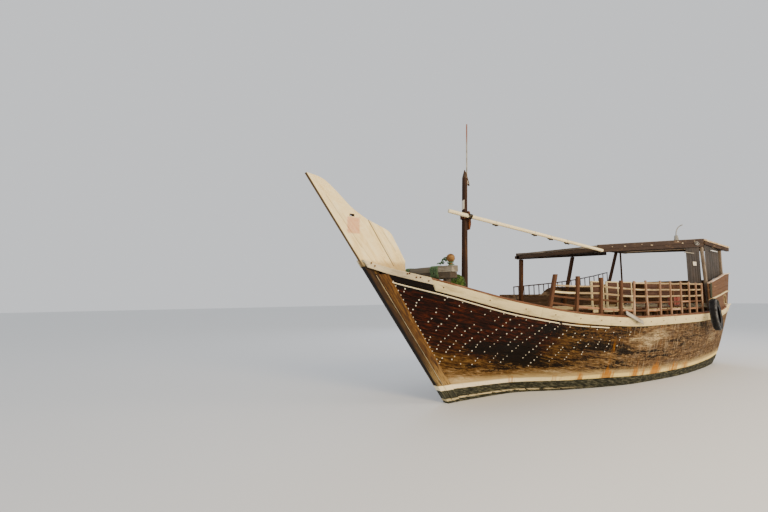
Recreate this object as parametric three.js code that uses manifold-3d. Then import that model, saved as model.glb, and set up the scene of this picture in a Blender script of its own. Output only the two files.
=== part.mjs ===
// A wooden dhow, afloat: planked hull with a long raked stem, a bare mast and boom,
// a railed passenger deck under a timber canopy, and an outboard rudder and propeller.
// Millimetres. Origin on the waterline, amidships, on the centreline; +X to the bow, +Y to port, +Z up.
import * as THREE from 'three';
import { mergeVertices } from 'three/addons/utils/BufferGeometryUtils.js';
import Module from 'manifold-3d';

const wasm = await Module();
wasm.setup();

// Driving dimensions of the hull
const STEM_FOOT = 5200;        // stem front edge at the waterline
const STEM_RAKE = 0.735;       // forward run of the stem for each unit of height
const STEM_DEEP = 260;         // stem timber, fore and aft
const STEM_THICK = 150;        // stem timber, across
const STEM_TOP = 2800;         // where the stem timber ends and the stemhead board begins
const STEM_HEAD_TOP = 4430;    // tip of the stemhead board
const KEEL_DEPTH = 1350;       // underside of the keel below the waterline
const KEEL_THICK = 140;
const SHOE = 100;              // keel left under the propeller
const TRANSOM_X = -5170;       // transom front face at the waterline
const STERN_RAKE = -0.52;      // run of the transom and the stern post for each unit of height
const PLANK = 60;              // bulwark planking and transom
const DECK_DROP = 290;         // top of the deck below the sheer
const DECK_THICK = 45;
const GAP = 0.3;               // clearance between pieces that touch
const STANDOFF = 6;            // between the planking's facets and a strip laid along them
const CAP_THICK = 40;
const CAP_OUT = 40;            // cap rail outside the planking
const CAP_IN = 150;            // cap rail inside the planking's outer face
const BAND_HIGH = 205;
const BAND_THICK = 28;

// Hull stations from the stem aft. Columns: x at the waterline, forward rake of the station plane,
// height of the rabbet, half-breadth at half depth, at the waterline and at the sheer, sheer height
const STATIONS = [
  [5180, 0.735, -1000, 70, 70, 90, 2880],
  [4940, 0.735, -1000, 70, 70, 125, 2800],
  [4400, 0.62, -1040, 78, 90, 730, 2495],
  [3400, 0.42, -1060, 140, 190, 1240, 2075],
  [2000, 0.2, -1060, 480, 830, 1600, 1785],
  [0, 0, -1040, 1000, 1440, 1855, 1650],
  [-2300, -0.18, -930, 1130, 1620, 1935, 1650],
  [-4100, -0.36, -640, 800, 1520, 1810, 1690],
  [TRANSOM_X, STERN_RAKE, -430, 480, 1370, 1650, 1850],
];
const PLANKED_FROM = 4940;     // station where the planking meets the stem
const BAND_FROM = 4490;        // station where the wide band and the brown cap begin
const FOREDECK_TO = 3200;      // station at the break of the foredeck
const FOREDECK_DROP = 50;

// Mast and boom
const MAST = { foot: 4570, head: 4440, half: 57, headHalf: 44, shoulder: 4930, top: 5120 };
const POLE = { radius: 16, from: 4480, top: 6230 };
const BOOM = { foreRadius: 45, aftRadius: 37, ahead: 530, aft: [1045, 1315, 3310], high: 4010, out: 156 };

// Canopy: fore end, break and aft end, with half-widths and roof heights there
const CANOPY = { fore: 1100, break: -4550, aft: -6400, thick: 50 };
const CANOPY_HALF = { fore: 1220, break: 1600, aftFore: 1660, aft: 1730 };
const CANOPY_TOP = { fore: 3450, break: 3950, aftPort: 3800, aftStarboard: 3950 };

// Paints and timbers
const finish = (color, roughness, metalness = 0) => (
  new THREE.MeshStandardMaterial({ color, roughness, metalness })
);
const OILED_PLANK = finish(0x5a3418, 0.75);
const WORN_PLANK = finish(0x7d5a38, 0.85);
const DECK_BOARD = finish(0x86694a, 0.9);
const DARK_TIMBER = finish(0x3e2619, 0.7);
const RAIL_TIMBER = finish(0xa77a52, 0.75);
const CREAM_PAINT = finish(0xe2d5b0, 0.6);
const WEATHERED = finish(0xa39a8c, 0.9);
const CLOTH = finish(0x63564b, 0.95);
const RED_CLOTH = finish(0x9a3a30, 0.9);
const RUBBER = finish(0x17181b, 0.8);
const BRONZE = finish(0x8d6a3c, 0.4, 1);
const IRON = finish(0x4b3a31, 0.8, 0.6);
const GREEN_NET = finish(0x3d4f1c, 0.95);
const ORANGE = finish(0xc27d2c, 0.5);

const part = new THREE.Group();
function add(name, geometry, material) {
  const mesh = new THREE.Mesh(geometry, material);
  mesh.name = name;
  part.add(mesh);
  return mesh;
}

const at = (x, y, z) => new THREE.Vector3(x, y, z);
const mix = THREE.MathUtils.lerp;

// Smooth curve through points whose xs fall, with no overshoot between them
function fair(xs, ys) {
  const last = xs.length - 1;
  const chord = xs.slice(1).map((x, i) => (ys[i + 1] - ys[i]) / (x - xs[i]));
  const slope = xs.map((x, i) => {
    if (i === 0 || i === last) return chord[Math.min(i, last - 1)];
    const [a, b] = [chord[i - 1], chord[i]];
    return a * b <= 0 ? 0 : (2 * a * b) / (a + b);
  });
  return (x) => {
    let i = 0;
    while (i < last - 1 && x < xs[i + 1]) i += 1;
    const span = xs[i + 1] - xs[i];
    const t = THREE.MathUtils.clamp((x - xs[i]) / span, 0, 1);
    const [t2, t3] = [t * t, t * t * t];
    return (2 * t3 - 3 * t2 + 1) * ys[i] + (t3 - 2 * t2 + t) * span * slope[i]
      + (3 * t2 - 2 * t3) * ys[i + 1] + (t3 - t2) * span * slope[i + 1];
  };
}

// The hull's lines: each is a function of a station's x at the waterline
const column = (k) => fair(STATIONS.map((row) => row[0]), STATIONS.map((row) => row[k]));
const [rake, rabbet, bilge, water, deckEdge, sheer] = [1, 2, 3, 4, 5, 6].map(column);
const hullTop = (xw) => sheer(xw) - DECK_DROP - DECK_THICK;
const half = (xw, z) => fair(
  [sheer(xw), 0, rabbet(xw) / 2, rabbet(xw)],
  [deckEdge(xw), water(xw), bilge(xw), KEEL_THICK / 2],
)(z);
const onStation = (xw, y, z) => at(xw + rake(xw) * z, y, z);

// Stations that every piece along the hull shares, so that their facets agree
const STEPS = 26;
const SHARED = Array.from({ length: STEPS + 1 }, (_, i) => mix(PLANKED_FROM, TRANSOM_X, i / STEPS));
const nearest = (xw) => SHARED.reduce((a, b) => (Math.abs(b - xw) < Math.abs(a - xw) ? b : a));
const stations = (from, to) => SHARED.filter((xw) => xw <= nearest(from) && xw >= nearest(to));

const runAlong = (from, to, steps) => Array.from({ length: steps + 1 }, (_, i) => mix(from, to, i / steps));

// Station whose plane passes through x at the sheer
function stationOf(x) {
  let [low, high] = [TRANSOM_X, STATIONS[0][0]];
  for (let i = 0; i < 40; i += 1) {
    const middle = (low + high) / 2;
    if (middle + rake(middle) * sheer(middle) < x) low = middle;
    else high = middle;
  }
  return low;
}
const edgeAt = (x) => deckEdge(stationOf(x));
const sheerAt = (x) => sheer(stationOf(x));

// A ring's outline seen square on
function flat(ring) {
  const next = (i) => ring[(i + 1) % ring.length];
  const turn = (sum, p, i) => sum.add(at(0, 0, 0).crossVectors(p, next(i)));
  const normal = ring.reduce(turn, at(0, 0, 0)).normalize();
  const across = at(0, 0, 0).subVectors(ring[1], ring[0]).normalize();
  const up = at(0, 0, 0).crossVectors(normal, across);
  return ring.map((p) => new THREE.Vector2(p.dot(across), p.dot(up)));
}

// Closed solid through rings that have the same number of points, with flat ends
function loft(rings) {
  const count = rings[0].length;
  const index = [];
  for (let r = 0; r < rings.length - 1; r += 1) {
    for (let i = 0; i < count; i += 1) {
      const [a, b] = [r * count + i, r * count + ((i + 1) % count)];
      index.push(a, b, b + count, a, b + count, a + count);
    }
  }
  const end = (ring, first, turned) => {
    const outline = flat(ring);
    THREE.ShapeUtils.triangulateShape(outline, []).forEach(([a, b, c]) => {
      const [p, q, r] = [outline[a], outline[b], outline[c]];
      const left = (q.x - p.x) * (r.y - p.y) - (q.y - p.y) * (r.x - p.x) > 0;
      const face = left === turned ? [a, c, b] : [a, b, c];
      index.push(...face.map((k) => k + first));
    });
  };
  end(rings[0], 0, true);
  end(rings.at(-1), (rings.length - 1) * count, false);
  const points = rings.flat();
  const corner = (k) => points[index[k]];
  const volume = index.reduce((sum, _, k) => (k % 3 ? sum
    : sum + corner(k).dot(at(0, 0, 0).crossVectors(corner(k + 1), corner(k + 2)))), 0);
  if (volume < 0) index.reverse();
  const geometry = new THREE.BufferGeometry();
  const flatPoints = points.flatMap((p) => [p.x, p.y, p.z]);
  geometry.setAttribute('position', new THREE.Float32BufferAttribute(flatPoints, 3));
  geometry.setIndex(index);
  return geometry;
}

// Solid joins and cuts
function solidOf(geometry) {
  const bare = geometry.clone();
  bare.deleteAttribute('normal');
  bare.deleteAttribute('uv');
  const merged = mergeVertices(bare, 1e-3);
  return new wasm.Manifold(new wasm.Mesh({
    numProp: 3,
    vertProperties: merged.getAttribute('position').array,
    triVerts: new Uint32Array(merged.index.array),
  }));
}
function geometryOf(solid) {
  const mesh = solid.getMesh();
  const geometry = new THREE.BufferGeometry();
  geometry.setAttribute('position', new THREE.BufferAttribute(new Float32Array(mesh.vertProperties), 3));
  geometry.setIndex(new THREE.BufferAttribute(new Uint32Array(mesh.triVerts), 1));
  return geometry;
}
const fuse = (pieces) => geometryOf(pieces.map(solidOf).reduce((a, b) => a.add(b)));
const cut = (body, tools) => geometryOf(tools.map(solidOf).reduce((a, b) => a.subtract(b), solidOf(body)));

// Plain timbers
function block(x, y, z) {
  const [size, centre] = [x, y, z].map(([a, b]) => [b - a, (a + b) / 2]).reduce(
    ([s, c], [length, middle]) => [[...s, length], [...c, middle]],
    [[], []],
  );
  return new THREE.BoxGeometry(...size).translate(...centre);
}
const square = (x, y, z, sizeX, sizeY) => [[-1, -1], [1, -1], [1, 1], [-1, 1]]
  .map(([i, j]) => at(x + (i * sizeX) / 2, y + (j * sizeY) / 2, z));
const post = (foot, head, sizeX, sizeY = sizeX) => loft([
  square(foot.x, foot.y, foot.z, sizeX, sizeY),
  square(head.x, head.y, head.z, sizeX, sizeY),
]);
function rod(from, to, radius, sides = 10, endRadius = radius) {
  const along = at(0, 0, 0).subVectors(to, from);
  const turn = new THREE.Quaternion().setFromUnitVectors(at(0, 1, 0), along.clone().normalize());
  const middle = at(0, 0, 0).addVectors(from, to).multiplyScalar(0.5);
  return new THREE.CylinderGeometry(endRadius, radius, along.length(), sides)
    .applyQuaternion(turn).translate(middle.x, middle.y, middle.z);
}
// Flat piece in an upright fore-and-aft plane: outline of [x, z] points, between two values of y
const plate = (outline, y0, y1) => loft([y0, y1].map((y) => outline.map(([x, z]) => at(x, y, z))));
// Strip along the hull: section(xw) gives [y, z] points; hand is 1 to port and -1 to starboard
const strip = (line, section, hand = 1) => loft(
  line.map((xw) => section(xw).map(([y, z]) => onStation(xw, y * hand, z))),
);
// Height of the top face of a mesh under a square foot
function topOf(meshes, x, y, size) {
  const down = new THREE.Raycaster();
  const heights = [[-1, -1], [-1, 1], [1, -1], [1, 1], [0, 0]].flatMap(([i, j]) => {
    down.set(at(x + (i * size) / 2, y + (j * size) / 2, 2 * STEM_HEAD_TOP), at(0, 0, -1));
    const hit = down.intersectObjects(meshes)[0];
    return hit ? [hit.point.z] : [];
  });
  return Math.max(...heights);
}
const SIDES = [['port', 1], ['starboard', -1]];

// Outline down the port side and up the starboard side
const bothSides = (port) => [...port, ...port.map((p) => at(p.x, -p.y, p.z)).reverse()];

// Hull
const ENGINE = { x: [-2650, -1500], y: [-280, 280], z: [-420, 380] };
function hullBody() {
  const levels = Array.from({ length: 9 }, (_, k) => k / 8);
  const ring = (xw) => {
    const heights = levels.map((k) => mix(hullTop(xw), rabbet(xw), k));
    return bothSides(heights.map((z) => onStation(xw, half(xw, z), z)));
  };
  const room = block([ENGINE.x[0] - 100, ENGINE.x[1] + 100], [-380, 380], [ENGINE.z[0] - GAP, 2000]);
  return cut(loft(stations(PLANKED_FROM, TRANSOM_X).map(ring)), [room]);
}
const hull = add('hull_body', hullBody(), OILED_PLANK);
add('engine_block', block(ENGINE.x, ENGINE.y, ENGINE.z), IRON);

const bulwarkSection = (xw) => {
  const heights = [0, 0.5, 1].map((k) => mix(hullTop(xw) + GAP, sheer(xw), k));
  const outer = heights.map((z) => [half(xw, z), z]);
  return [...outer, ...outer.map(([y, z]) => [y - PLANK, z]).reverse()];
};
const slab = (inset, low, high) => (xw) => {
  const y = Math.min(half(xw, low(xw)), half(xw, high(xw))) - PLANK - inset;
  return [[y, low(xw)], [y, high(xw)], [-y, high(xw)], [-y, low(xw)]];
};
SIDES.forEach(([side, hand]) => {
  add(`bulwark_${side}`, strip(stations(PLANKED_FROM, TRANSOM_X), bulwarkSection, hand), OILED_PLANK);
});

const mastX = (z) => mix(MAST.foot, MAST.head, (z - 1800) / (MAST.top - 1800));
const mastHole = block([mastX(2300) - 75, mastX(2300) + 75], [-75, 75], [1000, 3000]);
const deckSection = slab(GAP + 2, (xw) => hullTop(xw) + GAP, (xw) => hullTop(xw) + DECK_THICK);
const deckSheet = strip(stations(PLANKED_FROM, TRANSOM_X), deckSection);
const deck = add('main_deck', cut(deckSheet, [mastHole]), DECK_BOARD);
const foredeckTop = (xw) => sheer(xw) - FOREDECK_DROP;
function foredeckGeometry() {
  const top = strip(
    stations(PLANKED_FROM, FOREDECK_TO),
    slab(10, (xw) => foredeckTop(xw) - DECK_THICK, foredeckTop),
  );
  const end = nearest(FOREDECK_TO);
  const bulkhead = strip(
    [end + 55, end + 12],
    slab(12, (xw) => hullTop(xw) + DECK_THICK + 12, (xw) => foredeckTop(xw) - 8),
  );
  return cut(fuse([top, bulkhead]), [mastHole]);
}
const foredeck = add('foredeck', foredeckGeometry(), DECK_BOARD);

function transomBoard() {
  const heights = Array.from({ length: 9 }, (_, k) => mix(sheer(TRANSOM_X), rabbet(TRANSOM_X), k / 8));
  const outline = bothSides(heights.map((z) => onStation(TRANSOM_X, half(TRANSOM_X, z), z)));
  return loft([GAP, PLANK].map((back) => outline.map((p) => at(p.x - back, p.y, p.z))));
}
add('transom_board', transomBoard(), WORN_PLANK);

// Stem, keel and stern post, all on the centreline
const stemFront = (z) => STEM_FOOT + STEM_RAKE * z;
const FOREFOOT = 3900;         // join of stem and keel
const PROPELLER = { x: -4400, z: -880, radius: 300, hub: 62, bearing: -4240 };
const APERTURE = -4180;        // fore side of the propeller's opening
const POST_DEEP = 150;
const postFront = (z) => TRANSOM_X - PLANK - GAP + STERN_RAKE * z;
const rabbetPoint = (xw) => [xw + rake(xw) * rabbet(xw), rabbet(xw) - GAP];
const rabbetLine = stations(PLANKED_FROM, TRANSOM_X).map(rabbetPoint);
function stemTimber() {
  const back = (z) => stemFront(z) - STEM_DEEP + 2 * GAP;
  const under = rabbetLine.filter(([x]) => x > FOREFOOT + 20 && x < back(-1000) - 20);
  const foot = new THREE.QuadraticBezierCurve(
    new THREE.Vector2(stemFront(-760), -760),
    new THREE.Vector2(stemFront(-KEEL_DEPTH) + 60, -KEEL_DEPTH),
    new THREE.Vector2(FOREFOOT, -KEEL_DEPTH),
  ).getPoints(5).map((p) => [p.x, p.y]);
  const outline = [
    [back(STEM_TOP), STEM_TOP], [stemFront(STEM_TOP), STEM_TOP], ...foot,
    [FOREFOOT, keelTop(FOREFOOT)], ...under.reverse(), [back(-1001), -1001],
  ];
  return plate(outline, -STEM_THICK / 2, STEM_THICK / 2);
}
function keelTop(x) {
  const i = rabbetLine.findIndex(([px]) => px < x);
  const [[x0, z0], [x1, z1]] = [rabbetLine[i - 1], rabbetLine[i]];
  return mix(z0, z1, (x - x0) / (x1 - x0));
}
function keelTimber() {
  const above = rabbetLine.filter(([x]) => x < FOREFOOT - 20 && x > APERTURE);
  const heel = postFront(-KEEL_DEPTH) - 10;
  const profile = plate([
    [FOREFOOT - GAP, -KEEL_DEPTH], [FOREFOOT - GAP, keelTop(FOREFOOT - GAP)], ...above,
    [APERTURE, keelTop(APERTURE)], [APERTURE, SHOE - KEEL_DEPTH],
    [postFront(SHOE - KEEL_DEPTH) + GAP, SHOE - KEEL_DEPTH], [heel + 10 + GAP, -KEEL_DEPTH],
  ], -KEEL_THICK / 2, KEEL_THICK / 2);
  const bearing = rod(at(APERTURE + 20, 0, PROPELLER.z), at(PROPELLER.bearing, 0, PROPELLER.z), 60, 16);
  return fuse([profile, bearing]);
}
add('stem_timber', stemTimber(), DARK_TIMBER);
add('keel_timber', keelTimber(), DARK_TIMBER);
const POST_TOP = 1500;
const hullBottomAft = rabbet(TRANSOM_X);
const KNEE = { fore: -4560, low: -800 };
add('stern_post', plate([
  [postFront(-KEEL_DEPTH), -KEEL_DEPTH], [postFront(POST_TOP), POST_TOP],
  [postFront(POST_TOP) - POST_DEEP, POST_TOP], [postFront(-KEEL_DEPTH) - POST_DEEP, -KEEL_DEPTH],
], -KEEL_THICK / 2, KEEL_THICK / 2), DARK_TIMBER);
// Filling piece between the hull's heel and the post, above the propeller's opening
add('stern_knee', plate([
  [postFront(hullBottomAft - 8) + GAP, hullBottomAft - 8],
  ...rabbetLine.filter(([x]) => x < KNEE.fore - 40 && x > postFront(hullBottomAft) + 30).reverse(),
  [KNEE.fore, keelTop(KNEE.fore)],
  [postFront(KNEE.low) + GAP, KNEE.low],
], -KEEL_THICK / 2 + 5, KEEL_THICK / 2 - 5), DARK_TIMBER);

// Stemhead board: a tall cream board standing on the stem, its outline in [x, z]
function stemheadBoard() {
  const shape = new THREE.Shape();
  shape.moveTo(stemFront(STEM_TOP + GAP), STEM_TOP + GAP);
  shape.lineTo(stemFront(STEM_HEAD_TOP), STEM_HEAD_TOP);
  shape.bezierCurveTo(8300, 4400, 8190, 4400, 8080, 4335);
  shape.bezierCurveTo(7930, 4245, 7760, 4090, 7620, 3975);
  shape.bezierCurveTo(7500, 3870, 7380, 3810, 7185, 3712);
  shape.lineTo(6880, 3602);
  shape.bezierCurveTo(6700, 3540, 6620, 3510, 6560, 3400);
  shape.lineTo(6265, 2940);
  shape.lineTo(6262, 2640);
  [6400, 6600, 6800, 6900].forEach((x) => shape.lineTo(x, topOf([foredeck], x, 0, 80) + 3));
  shape.lineTo(6940, STEM_TOP + GAP);
  const outline = shape.getPoints(5).map((p) => [p.x, p.y]);
  return plate(outline, -45, 45);
}
add('stemhead_board', stemheadBoard(), CREAM_PAINT);

// Strips along the sheer
const capSection = (xw) => {
  const [inner, outer] = [Math.max(deckEdge(xw) - CAP_IN, 52), deckEdge(xw) + CAP_OUT];
  const low = sheer(xw) + GAP;
  return [[inner, low], [outer, low], [outer, low + CAP_THICK], [inner, low + CAP_THICK]];
};
const BOW_LIP = 100;           // outer board of the bow cap below the sheer
const bowCapSection = (xw) => {
  const [[inner, low], [outer], [, top]] = capSection(xw);
  const [lip, foot] = [deckEdge(xw) + STANDOFF, sheer(xw) - BOW_LIP];
  return [[inner, low], [lip, low], [lip, foot], [outer, foot], [outer, top], [inner, top]];
};
const bandSection = (xw) => {
  const heights = [sheer(xw) - BAND_HIGH, sheer(xw) - BAND_HIGH / 2, sheer(xw) - 2];
  const inner = heights.map((z) => [half(xw, z) + STANDOFF, z]);
  return [...inner, ...inner.map(([y, z]) => [y + BAND_THICK, z]).reverse()];
};
const CAP_END = stations(TRANSOM_X + 300, TRANSOM_X + 300)[0];
const bowCaps = SIDES.map(([side, hand]) => {
  const fore = [STATIONS[0][0], ...stations(PLANKED_FROM, BAND_FROM)];
  return add(`bow_cap_${side}`, strip(fore, bowCapSection, hand), CREAM_PAINT);
});
const caps = SIDES.map(([side, hand]) => {
  add(`sheer_band_${side}`, strip(stations(BAND_FROM, TRANSOM_X), bandSection, hand), CREAM_PAINT);
  const line = stations(BAND_FROM, CAP_END);
  line[0] -= 1;
  return add(`cap_rail_${side}`, strip(line, capSection, hand), RAIL_TIMBER);
});
const transomCap = add('transom_cap', loft([CAP_END - 1, TRANSOM_X, TRANSOM_X - 80].map((xw) => {
  const y = deckEdge(xw) + CAP_OUT;
  const [low, high] = [sheer(xw) + GAP, sheer(xw) + GAP + CAP_THICK];
  return [onStation(xw, y, low), onStation(xw, y, high), onStation(xw, -y, high), onStation(xw, -y, low)];
})), CREAM_PAINT);
part.updateMatrixWorld(true);
const rail = [...caps, transomCap];

// Bow: mooring beam across the rails, float and net
const BEAM = { x: 5790, bottom: 2575, middle: 2690, top: 2815 };
function chockUnderBeam(hand) {
  const y = hand * (edgeAt(BEAM.x) - 55);
  const foot = topOf([...bowCaps, ...caps], BEAM.x, y, 120) + GAP;
  return block([BEAM.x - 60, BEAM.x + 60], [y - 50, y + 50], [foot, BEAM.bottom + 25]);
}
add('bow_crossbeam', fuse([
  block([BEAM.x - 90, BEAM.x + 90], [-925, 925], [BEAM.bottom, BEAM.middle + 4]),
  block([BEAM.x - 85, BEAM.x + 85], [-960, 960], [BEAM.middle, BEAM.top]),
  ...SIDES.map(([, hand]) => chockUnderBeam(hand)),
]), WEATHERED);
// Round float on its neck
const FLOAT = { y: 850, radius: 85, neck: 60, neckRadius: 38 };
const floatZ = BEAM.top + FLOAT.neck + FLOAT.radius;
add('bow_float', fuse([
  new THREE.SphereGeometry(FLOAT.radius, 16, 10).rotateX(Math.PI / 2).translate(BEAM.x, FLOAT.y, floatZ),
  rod(at(BEAM.x, FLOAT.y, BEAM.top + GAP), at(BEAM.x, FLOAT.y, floatZ), FLOAT.neckRadius, 12),
]), ORANGE);
const NET = { x: 5310, y: 500, radii: [250, 230, 190] };
add('net_bundle', new THREE.SphereGeometry(1, 16, 10).rotateX(Math.PI / 2).scale(...NET.radii)
  .translate(NET.x, NET.y, topOf([foredeck], NET.x, NET.y, 60) + NET.radii[2] + 25), GREEN_NET);

// Mast, and the thin pole at its head
const mastRing = (z, size) => square(mastX(z), 0, z, 2 * size, 2 * size);
const mastFoot = topOf([hull], mastX(1800), 0, 130) + 1;
add('mast', loft([
  mastRing(mastFoot, MAST.half),
  mastRing(MAST.shoulder, MAST.headHalf),
  mastRing(MAST.top, 8),
]), DARK_TIMBER);
const poleX = (z) => mastX(z) - MAST.headHalf - POLE.radius - 10;
add('mast_pole', fuse([
  rod(at(poleX(POLE.from), 0, POLE.from), at(poleX(POLE.top), 0, POLE.top), POLE.radius, 8),
  block([poleX(4830) - 30, poleX(4830) + 22], [-45, 45], [4790, 4870]),
]), IRON);

// Boom, lying along the port side of the mast, on a collar with a wooden chock that turns round it
const crossing = at(mastX(BOOM.high), BOOM.out, BOOM.high);
const boomEnd = at(...BOOM.aft);
const boomWay = at(0, 0, 0).subVectors(boomEnd, crossing).normalize();
const boomAt = (d) => crossing.clone().addScaledVector(boomWay, d);
const boomLength = crossing.distanceTo(boomEnd);
const hangers = [0.15, 0.54, 0.71, 0.88].map((k) => {
  const p = boomAt(boomLength * k);
  return block([p.x - 22, p.x + 22], [p.y - 16, p.y + 16], [p.z - 85, p.z]);
});
const spar = rod(boomAt(-BOOM.ahead), boomEnd, BOOM.foreRadius, 12, BOOM.aftRadius);
add('boom', fuse([spar, ...hangers]), CREAM_PAINT);
const COLLAR = { inner: 80, outer: 102, high: 90 };
const ringProfile = [
  [COLLAR.inner, -COLLAR.high / 2], [COLLAR.outer, -COLLAR.high / 2],
  [COLLAR.outer, COLLAR.high / 2], [COLLAR.inner, COLLAR.high / 2], [COLLAR.inner, -COLLAR.high / 2],
].map(([r, z]) => new THREE.Vector2(r, z));
const collarRing = new THREE.LatheGeometry(ringProfile, 24).rotateX(Math.PI / 2)
  .translate(crossing.x, 0, crossing.z);
// Chock behind the mast: fore face's x, foot and top
const CHOCK = { fore: crossing.x - COLLAR.inner - 8, low: 3730, high: 4160, half: 42 };
const chock = plate([
  [CHOCK.fore, CHOCK.low], [CHOCK.fore - 40, CHOCK.low + 10], [CHOCK.fore - 75, CHOCK.low + 130],
  [CHOCK.fore - 75, CHOCK.high - 100], [CHOCK.fore - 40, CHOCK.high - 10], [CHOCK.fore, CHOCK.high],
], -CHOCK.half, CHOCK.half);
add('boom_collar', fuse([collarRing, chock]), DARK_TIMBER);

// Canopy
const along = (x, from, to, a, b) => mix(a, b, (x - from) / (to - from));
const roofHalf = (x) => along(x, CANOPY.fore, CANOPY.break, CANOPY_HALF.fore, CANOPY_HALF.break);
const roofTop = (x) => along(x, CANOPY.fore, CANOPY.break, CANOPY_TOP.fore, CANOPY_TOP.break);
const aftHalf = (x) => along(x, CANOPY.break, CANOPY.aft, CANOPY_HALF.aftFore, CANOPY_HALF.aft);
const aftTop = (x, hand) => along(
  x,
  CANOPY.break,
  CANOPY.aft,
  CANOPY_TOP.break - 10,
  hand > 0 ? CANOPY_TOP.aftPort : CANOPY_TOP.aftStarboard,
);
const beamDeep = (x) => along(x, CANOPY.fore, CANOPY.break, 125, 200);
const sheet = (xs, halfWidth, top, thick) => loft(xs.map((x) => [
  at(x, -halfWidth(x), top(x) - thick), at(x, halfWidth(x), top(x) - thick),
  at(x, halfWidth(x), top(x)), at(x, -halfWidth(x), top(x)),
]));
const beamAlong = (xs, y0, y1, low, high) => loft(xs.map((x) => [
  at(x, y0(x), low(x)), at(x, y1(x), low(x)), at(x, y1(x), high(x)), at(x, y0(x), high(x)),
]));
add('canopy_roof', sheet([CANOPY.fore, CANOPY.break + 1], roofHalf, roofTop, CANOPY.thick), DARK_TIMBER);
const under = (x) => roofTop(x) - CANOPY.thick - GAP;
// The after roof is twisted, higher to starboard, and crowned
const AFT_CROWN = 12;
const aftRoofAt = (x, y) => {
  const share = y / aftHalf(x);
  return mix(aftTop(x, -1), aftTop(x, 1), (share + 1) / 2) + AFT_CROWN * (1 - share * share);
};
const aftUnder = (x, y) => aftRoofAt(x, y) - CANOPY.thick - 2;
const FRONT_BEAM = { deep: 95, low: 100 };
function canopyFrame() {
  const run = [CANOPY.fore - 5, CANOPY.break + 10];
  const edge = (offset, hand) => (x) => hand * (roofHalf(x) + offset);
  const sides = SIDES.flatMap(([, hand]) => [
    beamAlong(run, edge(-95, hand), edge(5, hand), (x) => under(x) - beamDeep(x), under),
    beamAlong(run, edge(GAP, hand), edge(24, hand), (x) => roofTop(x) - 115, (x) => roofTop(x) + 8),
  ]);
  const cross = [-20, -1150, -2280, -3410, -4490].map((x) => (
    block([x - 35, x + 35], [50 - roofHalf(x), roofHalf(x) - 50], [under(x) - 95, under(x) - 4])));
  const front = block(
    [CANOPY.fore - FRONT_BEAM.deep, CANOPY.fore - 5],
    [-CANOPY_HALF.fore - 70, CANOPY_HALF.fore + 20],
    [under(CANOPY.fore) - FRONT_BEAM.low, under(CANOPY.fore) - 14],
  );
  return fuse([...sides, ...cross, front]);
}
add('canopy_frame', canopyFrame(), DARK_TIMBER);
add('canopy_aft_roof', loft(runAlong(CANOPY.break - 1, CANOPY.aft, 4).map((x) => {
  const ys = [-1, -0.5, 0, 0.5, 1].map((share) => share * aftHalf(x));
  const across = ys.map((y) => at(x, y, aftRoofAt(x, y)));
  return [...across.map((p) => at(p.x, p.y, p.z - CANOPY.thick)), ...across.reverse()];
})), RAIL_TIMBER);
// The after frame is light to starboard: depth of its side beams and of its cross beams there
const aftBeam = (hand) => (hand > 0 ? 115 : 45);
const aftCross = (hand) => (hand > 0 ? 90 : 38);
const aftSideBeam = (hand) => loft([CANOPY.break - 8, CANOPY.aft + 30].map((x) => {
  const [inner, outer] = [hand * (aftHalf(x) - 105), hand * (aftHalf(x) - 15)];
  const corner = (y, down) => at(x, y, Math.min(aftUnder(x, inner), aftUnder(x, outer)) - down);
  return [corner(inner, aftBeam(hand)), corner(outer, aftBeam(hand)), corner(outer, 0), corner(inner, 0)];
}));
const aftCrossBeam = (centre) => loft([centre - 35, centre + 35].map((x) => {
  const corner = (hand, down) => {
    const y = hand * (aftHalf(x) - 60);
    return at(x, y, aftUnder(x, y) - down);
  };
  return [corner(-1, aftCross(-1)), corner(1, aftCross(1)), corner(1, 8), corner(-1, 8)];
}));
add('canopy_aft_frame', fuse([
  ...SIDES.map(([, hand]) => aftSideBeam(hand)),
  ...[CANOPY.break - 50, (CANOPY.break + CANOPY.aft) / 2, CANOPY.aft + 70].map(aftCrossBeam),
]), DARK_TIMBER);

// Canopy posts. Columns: name, side, foot x, head x, size, head inside the roof's edge
const POSTS = [
  ['canopy_post_starboard_1', -1, 330, 940, 100, 50],
  ['canopy_post_starboard_2', -1, -2050, -2080, 100, 50],
  ['canopy_post_starboard_3', -1, -4470, -5460, 95, 60],
  ['canopy_post_starboard_4', -1, -5720, -5720, 55, 60],
  ['canopy_post_port_1', 1, -4170, -4490, 85, 45],
  ['canopy_post_port_2', 1, -6000, -6000, 85, 60],
];
POSTS.forEach(([name, hand, footX, headX, size, inset]) => {
  const isAft = headX < CANOPY.break;
  const headY = hand * Math.min((isAft ? aftHalf : roofHalf)(headX) - inset, edgeAt(headX) - 115);
  const underside = (x) => (
    isAft ? aftUnder(x, hand * (aftHalf(x) - 15)) - aftBeam(hand) : under(x) - beamDeep(x)
  );
  const headZ = Math.min(underside(headX - size / 2), underside(headX + size / 2)) - 3;
  const footY = hand * (edgeAt(footX) - 112);
  const foot = at(footX, footY, topOf(rail, footX, footY, size) + 1);
  add(name, post(foot, at(headX, headY, headZ), size), hand > 0 ? WEATHERED : DARK_TIMBER);
});

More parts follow.
